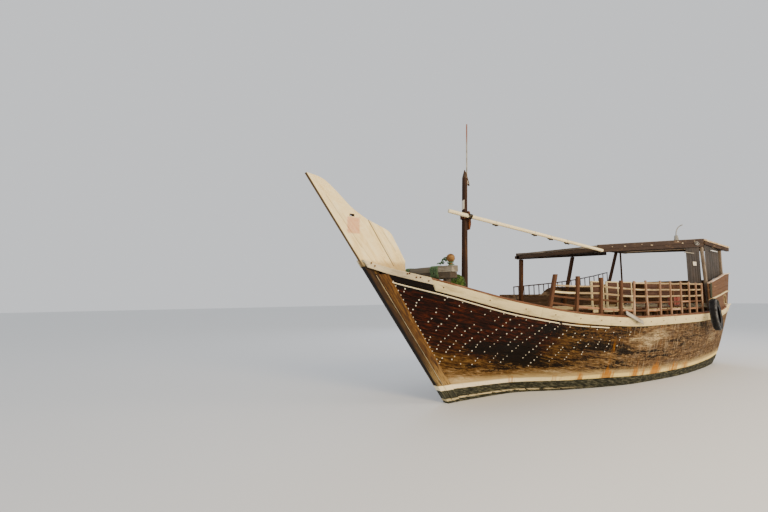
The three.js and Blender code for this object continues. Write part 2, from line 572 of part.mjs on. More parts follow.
// Side curtains on the port quarter
const hang = (x0, x1, y, low, high) => loft([x0, x1].map((x) => [
  at(x, y(x) - 10, low(x)), at(x, y(x) + 10, low(x)), at(x, y(x) + 10, high(x)), at(x, y(x) - 10, high(x)),
]));
add('curtain_fore', hang(
  -3450,
  -4320,
  (x) => roofHalf(x) - 40,
  () => 2520,
  (x) => under(x) - beamDeep(x) - 4,
), CLOTH);
const CURTAIN_AFT = { from: -4570, to: -5830 };
add('curtain_aft', hang(
  CURTAIN_AFT.from,
  CURTAIN_AFT.to,
  (x) => along(x, CURTAIN_AFT.from, CURTAIN_AFT.to, 1600, 1565),
  (x) => along(x, CURTAIN_AFT.from, CURTAIN_AFT.to, 2600, 2800),
  (x) => aftUnder(x, aftHalf(x) - 15) - aftBeam(1) - 6,
), CLOTH);

// Port railing. Columns: foot x, lean aft of the head, head above the cap, size
const RAIL_POSTS = [
  [3400, 205, 715, 95], [2620, 105, 790, 90], [1820, 90, 835, 90], [1100, 100, 830, 90],
  [550, 80, 850, 60], [-80, -30, 880, 55], [-720, 60, 880, 55], [-1300, 20, 880, 55],
  [-1900, 30, 880, 55], [-2400, 60, 870, 55], [-2900, 50, 850, 55], [-3400, 40, 840, 55],
];
// Rails. Columns: height above the cap at the first post and from the third on, number of the first post
const RAILS = [[115, 130, 0], [270, 330, 0], [365, 480, 0], [500, 650, 0], [815, 815, 4]];
const railY = (x) => edgeAt(x) - 75;
function railingPort() {
  const posts = RAIL_POSTS.map(([x, lean, high, size]) => {
    const foot = topOf([caps[0]], x, railY(x), size) + 1;
    return post(at(x, railY(x), foot), at(x - lean, railY(x - lean), foot + high), size, size * 0.75);
  });
  const rails = RAILS.map(([first, high, from]) => loft(RAIL_POSTS.slice(from).map(([x, lean, head], i) => {
    const up = mix(first, high, Math.min((from + i) / 2, 1));
    const px = x - (lean * up) / head;
    const [y, z] = [railY(px) - 18, sheerAt(px) + CAP_THICK + up];
    return [at(px, y - 14, z - 22), at(px, y + 14, z - 22), at(px, y + 14, z + 22), at(px, y - 14, z + 22)];
  })));
  return fuse([...posts, ...rails]);
}
add('railing_port', railingPort(), RAIL_TIMBER);

// Starboard side: solid washboard on the cap
const WASH = { from: 1300, to: -3870, thick: 35 };
const washTop = (x) => mix(2270, 2520, THREE.MathUtils.smoothstep(-x, 900, 1500));
const standing = (xs, top, hand, thick) => loft(xs.map((x) => {
  const outer = hand * (edgeAt(x) - 12);
  const inner = outer - hand * thick;
  const low = topOf(rail, x, (outer + inner) / 2, thick) + 2;
  return [at(x, inner, low), at(x, outer, low), at(x, outer, top(x)), at(x, inner, top(x))];
}));
const washRun = runAlong(WASH.from, WASH.to, 16);
const washboard = add('washboard_starboard', standing(washRun, washTop, -1, WASH.thick), OILED_PLANK);

// Raised quarters and stern panel
const QUARTER = { from: -3890, to: -6050, thick: 40 };
const QUARTER_AFT_TOP = { port: 2915, starboard: 2740 };
const ledgeTop = (x) => along(x, QUARTER.from, QUARTER.to, 2065, 2335);
const quarterRun = runAlong(QUARTER.from, QUARTER.to, 6);
const SCUPPER = { x: [-5850, -5610], z: [1910, 2160] };
SIDES.forEach(([side, hand]) => {
  const quarterTop = (x) => along(x, QUARTER.from, QUARTER.to, 2560, QUARTER_AFT_TOP[side]);
  const panel = standing(quarterRun, (x) => quarterTop(x) - 30, hand, QUARTER.thick);
  const lip = (low, high, out) => beamAlong(
    quarterRun,
    (x) => hand * (edgeAt(x) - 12 - QUARTER.thick + 4),
    (x) => hand * (edgeAt(x) + out),
    low,
    high,
  );
  const scupper = block(SCUPPER.x, hand > 0 ? [1400, 1950] : [-1950, -1400], SCUPPER.z);
  add(`quarter_panel_${side}`, cut(fuse([
    panel,
    lip((x) => quarterTop(x) - 34, quarterTop, 26),
    lip((x) => ledgeTop(x) - 45, ledgeTop, 22),
  ]), [scupper]), RAIL_TIMBER);
});
const STERN = { x: -6085, top: 2700 };
const sternWidth = [60 - edgeAt(STERN.x + 20), edgeAt(STERN.x + 20) - 60];
const sternFoot = topOf([transomCap], STERN.x, 0, 60) + 2;
add('stern_panel', fuse([
  block([STERN.x - 20, STERN.x + 20], sternWidth, [sternFoot, STERN.top - 32]),
  block([STERN.x - 45, STERN.x + 30], sternWidth, [STERN.top - 36, STERN.top]),
]), RAIL_TIMBER);

// Light railing on the washboard and on the quarter's cap
const HAND_RAIL = { from: 560, to: -4980, half: 16 };
const handRailTop = fair([560, -1150, -2540, -3980, -4980], [2500, 2608, 2727, 2911, 3075]);
function railingStarboard() {
  const base = [washboard, part.getObjectByName('quarter_panel_starboard')];
  const point = (x) => at(x, 30 - edgeAt(x), handRailTop(x));
  const xs = runAlong(HAND_RAIL.from, HAND_RAIL.to, 20);
  const size = HAND_RAIL.half;
  const corners = [[-size, -size], [size, -size], [size, size], [-size, size]];
  const top = loft(xs.map((x) => corners.map(([y, z]) => at(x, point(x).y + y, point(x).z + z))));
  const balusters = xs.map((x, i) => {
    const px = i === 0 ? x - 12 : i === xs.length - 1 ? x + 12 : x;
    const p = point(px);
    return post(at(px, p.y, topOf(base, px, p.y, 24) + 1), at(px, p.y, p.z), 24);
  });
  return fuse([top, ...balusters]);
}
add('railing_starboard', railingStarboard(), DARK_TIMBER);

// Seats. Columns: name, fore x, aft x, inner and outer y, backs between these x
const SEATS = [
  ['bench_port_fore', 1500, -560, 780, 1225, [[1460, 900], [760, 180], [20, -540]]],
  ['bench_port_aft', -1250, -3980, 780, 1225, [[-1290, -2100], [-2160, -2980], [-3040, -3940]]],
  ['bench_starboard', 1200, -4200, -1500, -1080, []],
];
const SEAT_HIGH = 480;
SEATS.forEach(([name, fore, aft, y0, y1, backs]) => {
  const deckTop = (x, y) => topOf([deck], x, y, 50) + 1;
  const seatTop = Math.max(deckTop(fore - 60, y0), deckTop(aft + 60, y0)) + SEAT_HIGH;
  const back = { panel: [2150, 2530], top: 2560 };
  const legs = runAlong(fore - 45, aft + 45, 4).flatMap((x) => [y0 + 35, y1 - 35].map((y) => (
    post(at(x, y, deckTop(x, y)), at(x, y, seatTop - 20), 50))));
  const rails = [y0 + 35, y1 - 35].map((y) => (
    block([aft + 20, fore - 20], [y - 20, y + 20], [seatTop - 110, seatTop - 30])));
  const seat = block([aft, fore], [y0, y1], [seatTop - 40, seatTop]);
  const backPieces = backs.flatMap(([a, b]) => [
    ...[a - 22, b + 22].map((x) => block([x - 22, x + 22], [y1 - 45, y1 - 5], [seatTop - 20, back.top - 15])),
    block([b + 10, a - 10], [y1 - 38, y1 - 14], back.panel),
    block([b, a], [y1 - 50, y1], [back.panel[1], back.top]),
  ]);
  add(name, fuse([seat, ...legs, ...rails, ...backPieces]), RAIL_TIMBER);
});
// Loose cushions that stand against the after back
const CUSHION = { y: [1080, 1176], halfLength: 215, high: 430 };
[-3150, -3620].forEach((x, i) => {
  const foot = topOf([part.getObjectByName('bench_port_aft')], x, CUSHION.y[0], 80) + GAP;
  add(
    `cushion_${i + 1}`,
    block([x - CUSHION.halfLength, x + CUSHION.halfLength], CUSHION.y, [foot, foot + CUSHION.high]),
    RED_CLOTH,
  );
});

// Truck tyre hung on the port quarter as a fender, its fore edge swung out and its top leaning in
const TYRE = { x: -3560, z: 1615, radius: 450, bead: 255, halfWidth: 92, yaw: 0.18, lean: 0.08 };
const tyreProfile = [
  [TYRE.bead, -68], [300, -88], [400, -TYRE.halfWidth], [438, -74], [TYRE.radius, -34], [TYRE.radius, 34],
  [438, 74], [400, TYRE.halfWidth], [300, 88], [TYRE.bead, 68], [272, 52], [312, 66], [396, 66],
  [418, 0], [396, -66], [312, -66], [272, -52], [TYRE.bead, -68],
].map(([r, w]) => new THREE.Vector2(r, w));
const LEAN_ROOM = 64;          // kept clear of the cap for the tyre's lean and turn
const tyreY = edgeAt(TYRE.x) + CAP_OUT + STANDOFF + TYRE.halfWidth + LEAN_ROOM;
add('tyre_fender', new THREE.LatheGeometry(tyreProfile, 32).rotateX(TYRE.lean).rotateZ(TYRE.yaw)
  .translate(TYRE.x, tyreY, TYRE.z), RUBBER);

// Lamp on a bent stalk, on the canopy's port edge
const LAMP = { x: -3600, y: 1200 };
const lampFoot = topOf([part.getObjectByName('canopy_roof')], LAMP.x, LAMP.y, 60) + GAP + 1;
const stalk = new THREE.CatmullRomCurve3([
  [0, 0, 0], [0, 0, 180], [-10, 20, 330], [-50, 90, 450], [-90, 170, 490],
].map(([x, y, z]) => at(LAMP.x + x, LAMP.y + y, lampFoot + z)));
const stalkSection = new THREE.Shape().absarc(0, 0, 16, 0, 2 * Math.PI);
add('roof_lamp', fuse([
  new THREE.ExtrudeGeometry(stalkSection, {
    extrudePath: stalk,
    steps: 12,
    curveSegments: 8,
    bevelEnabled: false,
  }),
  rod(at(LAMP.x, LAMP.y, lampFoot), at(LAMP.x, LAMP.y, lampFoot + 120), 34, 12),
]), IRON);

// Rudder, hung on the stern post, with the yoke for its steering lines
const HINGE_AFT = 45;          // rudder's axis aft of the post
const hingeX = (z) => postFront(z) - POST_DEEP - HINGE_AFT;
// Columns: height, reach of the blade aft of the axis
const BLADE = [
  [-1310, 560], [-1150, 660], [-700, 700], [-250, 560], [150, 400], [700, 290], [1500, 230], [2050, 210],
];
const RUDDER_HALF = 30;
add('rudder_blade', plate([
  ...BLADE.map(([z]) => [hingeX(z) + 20, z]),
  ...BLADE.map(([z, reach]) => [hingeX(z) - reach, z]).reverse(),
], -RUDDER_HALF, RUDDER_HALF), WORN_PLANK);
const yokeX = hingeX(2080) - 90;
add('rudder_yoke', block([yokeX - 45, yokeX + 45], [-420, 420], [2050 + GAP, 2115]), IRON);

// Propeller with its shaft
function propeller() {
  const onShaft = (x) => at(x, 0, PROPELLER.z);
  const hub = rod(onShaft(PROPELLER.x + 80), onShaft(PROPELLER.x - 90), PROPELLER.hub, 16);
  const shaft = rod(onShaft(PROPELLER.bearing - 5), onShaft(PROPELLER.x), 26, 12);
  const outline = new THREE.Shape();
  outline.moveTo(-40, 30);
  outline.bezierCurveTo(-130, 120, -120, 290, 10, 300);
  outline.bezierCurveTo(110, 290, 120, 130, 45, 30);
  const flatBlade = { depth: 14, bevelEnabled: false, curveSegments: 6 };
  const blades = [0, 1, 2].map((i) => new THREE.ExtrudeGeometry(outline, flatBlade)
    .translate(0, 0, -flatBlade.depth / 2).rotateY(Math.PI / 2 - 0.45)
    .rotateX(Math.PI / 2 + (i * 2 * Math.PI) / 3).translate(PROPELLER.x, 0, PROPELLER.z));
  return fuse([hub, shaft, ...blades]);
}
add('propeller', propeller(), BRONZE);

export default part;
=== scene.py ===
# %% [markdown]
# # A wooden dhow, dressed
# The imported model gives the boat's solids in one frame: metres, origin on the waterline amidships,
# +X to the bow, +Y to port, +Z up. This lesson puts real planks, paint, weather and small fittings on it.
# The first step loads the model and puts each part's mesh in that frame.

# %% Load the imported boat
import bisect
import math
import random
from contextlib import contextmanager

import bpy
from mathutils import Matrix, Vector


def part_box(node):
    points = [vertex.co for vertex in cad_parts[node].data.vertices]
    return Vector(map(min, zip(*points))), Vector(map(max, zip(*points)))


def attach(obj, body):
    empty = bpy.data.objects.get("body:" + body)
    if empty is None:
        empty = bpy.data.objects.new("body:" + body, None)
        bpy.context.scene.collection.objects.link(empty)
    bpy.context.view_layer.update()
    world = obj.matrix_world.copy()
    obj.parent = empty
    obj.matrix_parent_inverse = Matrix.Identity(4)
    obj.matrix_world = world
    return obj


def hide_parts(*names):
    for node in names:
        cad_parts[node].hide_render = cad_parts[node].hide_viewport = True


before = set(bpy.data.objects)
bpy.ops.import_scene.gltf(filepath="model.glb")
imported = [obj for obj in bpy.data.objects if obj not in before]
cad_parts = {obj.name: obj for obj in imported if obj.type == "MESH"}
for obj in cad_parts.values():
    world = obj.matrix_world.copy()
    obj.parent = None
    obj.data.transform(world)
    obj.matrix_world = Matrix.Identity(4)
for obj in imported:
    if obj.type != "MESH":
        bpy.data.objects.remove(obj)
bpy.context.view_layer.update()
SIDES = (("port", 1), ("starboard", -1))


def new_object(name, data):
    """Puts an object with this data into the scene."""
    made = bpy.data.objects.new(name, data)
    bpy.context.scene.collection.objects.link(made)
    return made


# %% [markdown]
# ## The camera
# The photo was taken from a quay, off the port bow, with a wide lens and the eye 2.2 m above the water.
# A camera is a place and three axes. The view is tipped up by 5.4 degrees and leans by 0.7 degrees,
# so its axes are built by turning a level pair of axes by those two angles.

# %% Camera at the photographer's eye
IMAGE_WIDTH = 768
FOCAL_PIXELS = 450
EYE = Vector((11.912, 7.089, 2.2))
HEADING = math.radians(54)
PITCH = math.radians(5.37)
LEAN = 0.0118

level_right = Vector((-math.sin(HEADING), math.cos(HEADING), 0))
level_ahead = Vector((-math.cos(HEADING), -math.sin(HEADING), 0))
ahead = level_ahead * math.cos(PITCH) + Vector((0, 0, math.sin(PITCH)))
above = level_right.cross(ahead)
right = level_right * math.cos(LEAN) - above * math.sin(LEAN)
upward = level_right * math.sin(LEAN) + above * math.cos(LEAN)

camera_data = bpy.data.cameras.new("camera")
camera_data.sensor_width = 36
camera_data.lens = camera_data.sensor_width * FOCAL_PIXELS / IMAGE_WIDTH
camera_data.clip_end = 500
camera = new_object("camera", camera_data)
camera.matrix_world = Matrix.Translation(EYE) @ Matrix((right, upward, -ahead)).transposed().to_4x4()
bpy.context.scene.camera = camera
print("lens", round(camera_data.lens, 2), "mm")

# %% [markdown]
# ## Floor and light
# A studio for a floating boat has a pale floor at the waterline. Large area lamps give soft shadows,
# and a pale world fills them.

# %% Colours, typed as in a paint shop and turned to linear light
def linear(hex_colour):
    """A colour such as #c8b89a as the linear RGBA that Blender's sockets want."""
    shares = [int(hex_colour[i:i + 2], 16) / 255 for i in (1, 3, 5)]
    return (*[s / 12.92 if s <= 0.04045 else ((s + 0.055) / 1.055) ** 2.4 for s in shares], 1)


# %% Fields and nodes
class Field:
    """A value that varies over a surface: one output of a node. Sums on it add Math nodes."""

    def __init__(self, output):
        self.output = output
        self.tree = output.id_data

    def __add__(self, other):
        return maths("ADD", self, other)

    def __sub__(self, other):
        return maths("SUBTRACT", self, other)

    def __mul__(self, other):
        return maths("MULTIPLY", self, other)

    def __truediv__(self, other):
        return maths("DIVIDE", self, other)

    def __abs__(self):
        return maths("ABSOLUTE", self)


def add_node(near, kind, fill=None, stops=None, output=0, **settings):
    """Adds a shader node and gives one of its outputs as a Field, or all of them if output is None.

    near is the node tree or a Field in it. fill gives the sockets: a Field is linked, a value typed in."""
    tree = near.tree if isinstance(near, Field) else near
    made = tree.nodes.new("ShaderNode" + kind)
    for name, value in settings.items():
        setattr(made, name, value)
    for key, value in (fill or {}).items():
        if isinstance(value, Field):
            tree.links.new(value.output, made.inputs[key])
        else:
            made.inputs[key].default_value = linear(value) if isinstance(value, str) else value
    if stops:
        ramp = made.color_ramp
        for place, _ in stops[2:]:
            ramp.elements.new(place)
        for element, (place, colour) in zip(ramp.elements, sorted(stops, key=lambda stop: stop[0])):
            element.position = place
            element.color = linear(colour) if isinstance(colour, str) else (colour, colour, colour, 1)
    return [Field(socket) for socket in made.outputs] if output is None else Field(made.outputs[output])


# %% Pale floor
bpy.ops.mesh.primitive_plane_add(size=240)
floor = bpy.context.object
floor.name = "floor"
floor_finish = bpy.data.materials.new("studio_floor")
floor_finish.use_nodes = True
floor_shader = floor_finish.node_tree.nodes["Principled BSDF"]
floor_shader.inputs["Base Color"].default_value = linear("#dddfe0")
floor_shader.inputs["Roughness"].default_value = 0.75
floor.data.materials.append(floor_finish)

# %% Lamps and world
LAMPS = {
    # name: (place, size, watts, colour)
    "key_lamp": ((8, 18, 8), 6, 3600, "#ffe2b4"),
    "side_lamp": ((-9, 15, 7), 7, 1500, "#ffe6c4"),
    "back_lamp": ((-12, -12, 11), 8, 900, "#e6ecff"),
}
for name, (place, size, watts, colour) in LAMPS.items():
    lamp_data = bpy.data.lights.new(name, "AREA")
    lamp_data.size = size
    lamp_data.energy = watts
    lamp_data.color = linear(colour)[:3]
    lamp = new_object(name, lamp_data)
    lamp.location = place
    lamp.rotation_euler = (Vector((0, 0, 1.5)) - Vector(place)).to_track_quat("-Z", "Y").to_euler()

world = bpy.data.worlds.new("studio")
world.use_nodes = True
world.node_tree.nodes["Background"].inputs["Color"].default_value = linear("#e9ebee")
world.node_tree.nodes["Background"].inputs["Strength"].default_value = 1.0
bpy.context.scene.world = world

# %% [markdown]
# ## Timber
# Nearly all of this boat is one thing: hardwood that has stood in salt and sun. Oiled it is dark red
# brown, and bare it goes through tan to silver grey. Grain is long and thin, so a noise is stretched
# along the board. Each board carries an attribute named grain, metres along, across and through it, so
# that one material serves boards that lie every way and the grain bends with a bent board.

# %% Where a board's grain runs
def mark_grain(piece, way):
    """Writes the grain attribute. way is the grain's direction, or a function that gives it for a point."""
    chance = random.Random(piece.name)
    shift = Vector([chance.uniform(-20, 20) for _ in range(3)])
    if not callable(way):
        along = Vector(way).normalized()
        side = along.orthogonal().normalized()
        up = along.cross(side)

        def way(point):
            return point.dot(along), point.dot(side), point.dot(up)

    layer = piece.data.attributes.new("grain", "FLOAT_VECTOR", "POINT")
    flat = [c for vertex in piece.data.vertices for c in Vector(way(vertex.co)) + shift]
    layer.data.foreach_set("vector", flat)


# %% Small parts of every wood material
def new_material(name, follows="Object"):
    """A node material, its shader and its coordinates: the object's, or those of a named attribute."""
    material = bpy.data.materials.new(name)
    material.use_nodes = True
    tree = material.node_tree
    if follows == "Object":
        place = add_node(tree, "TexCoord", output="Object")
    else:
        place = add_node(tree, "Attribute", output="Vector", attribute_name=follows)
    return material, tree.nodes["Principled BSDF"], place


def maths(operation, a, b=0.0):
    """One sum on Fields and numbers; a is a Field."""
    return add_node(a, "Math", {0: a, 1: b}, operation=operation)


def band(value, low, high):
    """0 at low, 1 at high and smooth between; low may be the greater."""
    return add_node(value, "MapRange", {0: value, 1: low, 2: high}, interpolation_type="SMOOTHSTEP")


def noise(place, unit, detail=5.0, rough=0.6, shift=0.0):
    """Noise whose features are unit metres long on each axis."""
    fill = {0: place, "Location": (shift, shift, shift), "Scale": [1 / size for size in unit]}
    mapped = add_node(place, "Mapping", fill)
    return add_node(place, "TexNoise", {"Vector": mapped, "Scale": 1, "Detail": detail, "Roughness": rough})


def lay_over(share, under, over):
    """Lays one colour over another by a share from 0 to 1."""
    return add_node(share, "Mix", {0: share, 6: under, 7: over}, output=2, data_type="RGBA")


def ramp(value, *stops):
    """A value as colour through stops of (place, hex colour)."""
    return add_node(value, "ValToRGB", {0: value}, stops)


def finish_surface(shader, colour, dull, height, depth, strength=0.4):
    """Links colour, roughness and a bump of depth metres."""
    bump = add_node(height, "Bump", {"Strength": strength, "Distance": depth, "Height": height})
    for name, value in (("Base Color", colour), ("Roughness", dull), ("Normal", bump)):
        height.tree.links.new(value.output, shader.inputs[name])
    shader.inputs["Specular IOR Level"].default_value = 0.25


def mottled(name, size, stops, dull, depth, detail=5, strength=0.4, shine=0.2):
    """A material of one stuff: noise of one size gives its colour, its sheen from dull up, and its relief."""
    material, shader, place = new_material(name)
    spots = noise(place, size, detail, 0.7 if detail > 3 else 0.6)
    finish_surface(shader, ramp(spots, *stops), spots * shine + dull, spots, depth, strength)
    return material


# %% Bare, oiled and painted timber
GRAIN = (0.6, 0.011, 0.011)


def timber(name, dark, middle, pale, weather=0.5, roughness=0.8):
    """Hardwood, weathered pale in patches and rubbed pale at its edges. Wood's IOR is about 1.5."""
    material, shader, place = new_material(name, "grain")
    grain = noise(place, GRAIN)
    patches = noise(place, (0.8, 0.16, 0.16), 5, 0.65)
    stain = noise(place, (0.35, 0.05, 0.05), 5, 0.7, 4.0)
    wood = ramp(grain, (0.32, dark), (0.52, middle), (0.72, dark))
    bleached = ramp(grain, (0.3, middle), (0.6, pale))
    colour = lay_over(band(patches, 0.68 - weather * 0.36, 0.78 - weather * 0.3), wood, bleached)
    colour = lay_over(band(stain, 0.56, 0.7) * 0.6, colour, dark)
    edge = add_node(place, "NewGeometry", output="Pointiness")
    colour = lay_over(band(edge, 0.53, 0.62) * 0.4, colour, pale)
    dull = add_node(place, "MapRange", {0: patches, 3: roughness - 0.12, 4: roughness + 0.1})
    finish_surface(shader, colour, dull, grain, 0.003)
    return material


def painted(name, paint, dirty, wood, chips=0.5, dirt=0.5, roughness=0.6):
    """Oil paint brushed on timber: chalky, dirty in patches and chipped to the wood."""
    material, shader, place = new_material(name, "grain")
    brushed = noise(place, (0.35, 0.016, 0.016), 5, 0.65)
    cloud = noise(place, (0.5, 0.14, 0.14), 6, 0.7)
    flakes = noise(place, (0.09, 0.022, 0.022), 6, 0.75, 3.0)
    spots = noise(place, (0.5, 0.2, 0.2), 3, 0.5, 8.0)
    coat = lay_over(band(cloud, 0.66 - dirt * 0.3, 0.84 - dirt * 0.2) * 0.8, paint, dirty)
    coat = lay_over(band(brushed, 0.52, 0.72) * 0.3, coat, dirty)
    limit = flakes - band(spots, 0.7, 0.4) * 0.12
    chipped = band(limit, 0.72 - 0.14 * chips, 0.745 - 0.14 * chips)
    colour = lay_over(chipped, coat, wood)
    dull = add_node(place, "MapRange", {0: chipped, 3: roughness, 4: 0.9})
    finish_surface(shader, colour, dull, brushed - chipped, 0.002)
    return material


brown_teak = timber("weathered_brown_teak", "#24170f", "#473628", "#7a6a58", 0.4)
pale_teak = timber("bleached_pale_teak", "#7f5e3b", "#b8996e", "#d7c8a6", 0.6)
pink_teak = timber("sunned_pink_teak", "#6a3f29", "#9d7354", "#bba085", 0.5)
silver_teak = timber("silver_grey_teak", "#4f4940", "#898174", "#b3afa5", 0.65, 0.88)
cream_oil_paint = painted("cream_oil_paint", "#e6d9b4", "#c4b28a", "#7a5a38", 0.35, 0.35)
worn_cream_paint = painted("worn_cream_paint", "#cdbf9d", "#8d7f64", "#5c432c", 1.0, 0.85)
print("timber materials", len(bpy.data.materials))

# %% [markdown]
# ## Boards
# A sawn board starts as a cube, is cut across as often as it has to bend, and each of its corners is put
# in its place. A small bevel then eases its edges, because no handled timber has a knife edge.

# %% Board tools
def select_only(piece):
    """Leaves one object selected and active."""
    bpy.ops.object.select_all(action="DESELECT")
    piece.select_set(True)
    bpy.context.view_layer.objects.active = piece


@contextmanager
def editing(pick="SELECT"):
    """Opens the active piece for editing, with all of it or none of it selected."""
    bpy.ops.object.mode_set(mode="EDIT")
    if pick:
        bpy.ops.mesh.select_all(action=pick)
    yield
    bpy.ops.object.mode_set(mode="OBJECT")


def apply_all(piece):
    """Applies every modifier of a piece, in order."""
    select_only(piece)
    for modifier in list(piece.modifiers):
        bpy.ops.object.modifier_apply(modifier=modifier.name)


def keep(piece, material, body="boat", slot=None, stands_for=(), way=(1, 0, 0), smooth=35):
    """Gives a finished piece its shading, grain, material, body and the CAD nodes it stands for; slot is not
    used.
    """
    select_only(piece)
    bpy.ops.object.shade_smooth_by_angle(angle=math.radians(smooth))
    if way is not None:
        mark_grain(piece, way)
    piece.data.materials.clear()
    piece.data.materials.append(material)
    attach(piece, body)
    if stands_for:
        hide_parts(*stands_for)
    return piece


def primitive(name, add, **sizes):
    """A new piece made by one of Blender's add operators."""
    bpy.ops.object.select_all(action="DESELECT")
    add(**sizes)
    bpy.context.object.name = name
    return bpy.context.object


def cut_across(mesh, axis, cuts):
    """Cuts the active piece across its edges that run along an axis."""
    if not cuts:
        return
    with editing(None):
        bpy.ops.mesh.select_mode(type="EDGE")
        bpy.ops.mesh.select_all(action="DESELECT")
    for edge in mesh.edges:
        a, b = [mesh.vertices[i].co[axis] for i in edge.vertices]
        edge.select = abs(a - b) > 1
    with editing(None):
        bpy.ops.mesh.subdivide(number_cuts=cuts)


def ease_edges(piece, ease, segments=2, limit=40):
    """Bevels the sharp edges of a piece by ease metres."""
    bevel = piece.modifiers.new("ease", "BEVEL")
    bevel.width = ease
    bevel.segments = segments
    bevel.limit_method = "ANGLE"
    bevel.angle_limit = math.radians(limit)
    apply_all(piece)


def sawn(name, place, cuts=0, ease=0.004):
    """A cube cut across; place turns each corner (run, side, rise), from -1 to 1, to its point."""
    piece = primitive(name, bpy.ops.mesh.primitive_cube_add, size=2)
    mesh = piece.data
    cut_across(mesh, 0, cuts)
    for vertex in mesh.vertices:
        vertex.co = place(*vertex.co)
    with editing():
        bpy.ops.mesh.normals_make_consistent(inside=False)
    if ease:
        ease_edges(piece, ease)
    return piece


def circle(count, total=None):
    """Cosine and sine at count steps to the turn, for one turn or for total steps."""
    for k in range(total or count):
        turn = 2 * math.pi * k / count
        yield math.cos(turn), math.sin(turn)


def mix(a, b, share):
    """The value share of the way from a to b."""
    return a + (b - a) * share


def beam(name, start, end, wide, deep, material, up=(0, 0, 1), cuts=0, ease=0.004, bow=0.0, **how):
    """A straight timber between two points, wide across and deep along up. bow lets its middle sag."""
    start, end = Vector(start), Vector(end)
    along = (end - start).normalized()
    side = along.cross(Vector(up)).normalized()
    rise_way = side.cross(along)

    def place(run, across, rise):
        share = (run + 1) / 2
        sag = Vector((0, 0, -bow * (1 - run * run)))
        return start.lerp(end, share) + side * across * wide / 2 + rise_way * rise * deep / 2 + sag

    piece = sawn(name, place, cuts, ease)
    how.setdefault("way", along)
    return keep(piece, material, **how)


def dressed(node, material, ease=0.005, way=(1, 0, 0), body="boat", slot=None, smooth=35, name=None):
    """A copy of a CAD node with merged corners and eased edges, standing for it."""
    piece = new_object(name or node + "_dressed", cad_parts[node].data.copy())
    select_only(piece)
    with editing():
        bpy.ops.mesh.remove_doubles(threshold=0.0002)
        bpy.ops.mesh.dissolve_limited(angle_limit=math.radians(1))
    if ease:
        ease_edges(piece, ease)
    return keep(piece, material, body, slot, [node], way, smooth)


# %% [markdown]
# ## The hull's lines
# The CAD hull is lofted through nine stations. The same stations, read here in metres, give the surface
# under the planks everywhere, so that planks, nails and mouldings lie on it.

# %% Lines of the hull
# x at the waterline, rake, rabbet height, half-breadths at half depth, waterline and sheer, sheer height
STATIONS = [
    (5.18, 0.735, -1.0, 0.07, 0.07, 0.09, 2.88),
    (4.94, 0.735, -1.0, 0.07, 0.07, 0.125, 2.8),
    (4.4, 0.62, -1.04, 0.078, 0.09, 0.73, 2.495),
    (3.4, 0.42, -1.06, 0.14, 0.19, 1.24, 2.075),
    (2.0, 0.2, -1.06, 0.48, 0.83, 1.6, 1.785),
    (0.0, 0.0, -1.04, 1.0, 1.44, 1.855, 1.65),
    (-2.3, -0.18, -0.93, 1.13, 1.62, 1.935, 1.65),
    (-4.1, -0.36, -0.64, 0.8, 1.52, 1.81, 1.69),
    (-5.17, -0.52, -0.43, 0.48, 1.37, 1.65, 1.85),
]
STEM_STATION = 4.94
STERN_STATION = -5.17
STEM_FOOT = 5.2
STEM_RAKE = 0.735
KEEL_HALF = 0.07
BAND_HIGH = 0.205
CAP_THICK = 0.04


def fair(xs, ys):
    """A smooth curve through points whose xs fall, with no overshoot between them."""
    falling = [-x for x in xs]
    chords = [(ys[i + 1] - ys[i]) / (xs[i + 1] - xs[i]) for i in range(len(xs) - 1)]
    slopes = [chords[0]]
    slopes += [0 if a * b <= 0 else 2 * a * b / (a + b) for a, b in zip(chords, chords[1:])]
    slopes += [chords[-1]]

    def at(x):
        i = min(max(bisect.bisect_right(falling, -x) - 1, 0), len(xs) - 2)
        span = xs[i + 1] - xs[i]
        t = min(max((x - xs[i]) / span, 0), 1)
        return ((2 * t ** 3 - 3 * t ** 2 + 1) * ys[i] + (t ** 3 - 2 * t ** 2 + t) * span * slopes[i]
                + (3 * t ** 2 - 2 * t ** 3) * ys[i + 1] + (t ** 3 - t ** 2) * span * slopes[i + 1])

    return at


line_of = [fair([row[0] for row in STATIONS], [row[k] for row in STATIONS]) for k in range(1, 7)]
rake, rabbet, bilge, water, deck_edge, sheer = line_of


def breadth(station):
    """Half-breadth of the hull at a station, as a function of height."""
    return fair(
        [sheer(station), 0, rabbet(station) / 2, rabbet(station)],
        [deck_edge(station), water(station), bilge(station), KEEL_HALF],
    )


def on_station(station, y, z):
    """A point of a station's raked plane."""
    return Vector((station + rake(station) * z, y, z))


def on_hull(station, z, out=0.0, hand=1):
    """A point on the hull's side, or out metres off it."""
    return on_station(station, hand * (breadth(station)(z) + out), z)


# The line of the sheer by x, for what stands along it
SHEER_LINE = []
for step in range(401):
    at_station = mix(STATIONS[0][0], STERN_STATION, step / 400)
    SHEER_LINE.append((at_station + rake(at_station) * sheer(at_station), deck_edge(at_station),
                       sheer(at_station), at_station))


def sheer_line(x, k):
    """Column k of the sheer's line at x."""
    i = min(max(bisect.bisect_left([-row[0] for row in SHEER_LINE], -x), 1), len(SHEER_LINE) - 1)
    a, b = SHEER_LINE[i - 1], SHEER_LINE[i]
    return mix(a[k], b[k], min(max((x - a[0]) / (b[0] - a[0]), 0), 1))


def edge_at(x):
    """Half-breadth of the hull at the sheer, above a place on the centreline."""
    return sheer_line(x, 1)


def sheer_at(x):
    """Height of the sheer above a place on the centreline."""
    return sheer_line(x, 2)


def along_sheer(point):
    """Grain that follows the sheer."""
    return point.x, abs(point.y) - edge_at(point.x), point.z - sheer_at(point.x)


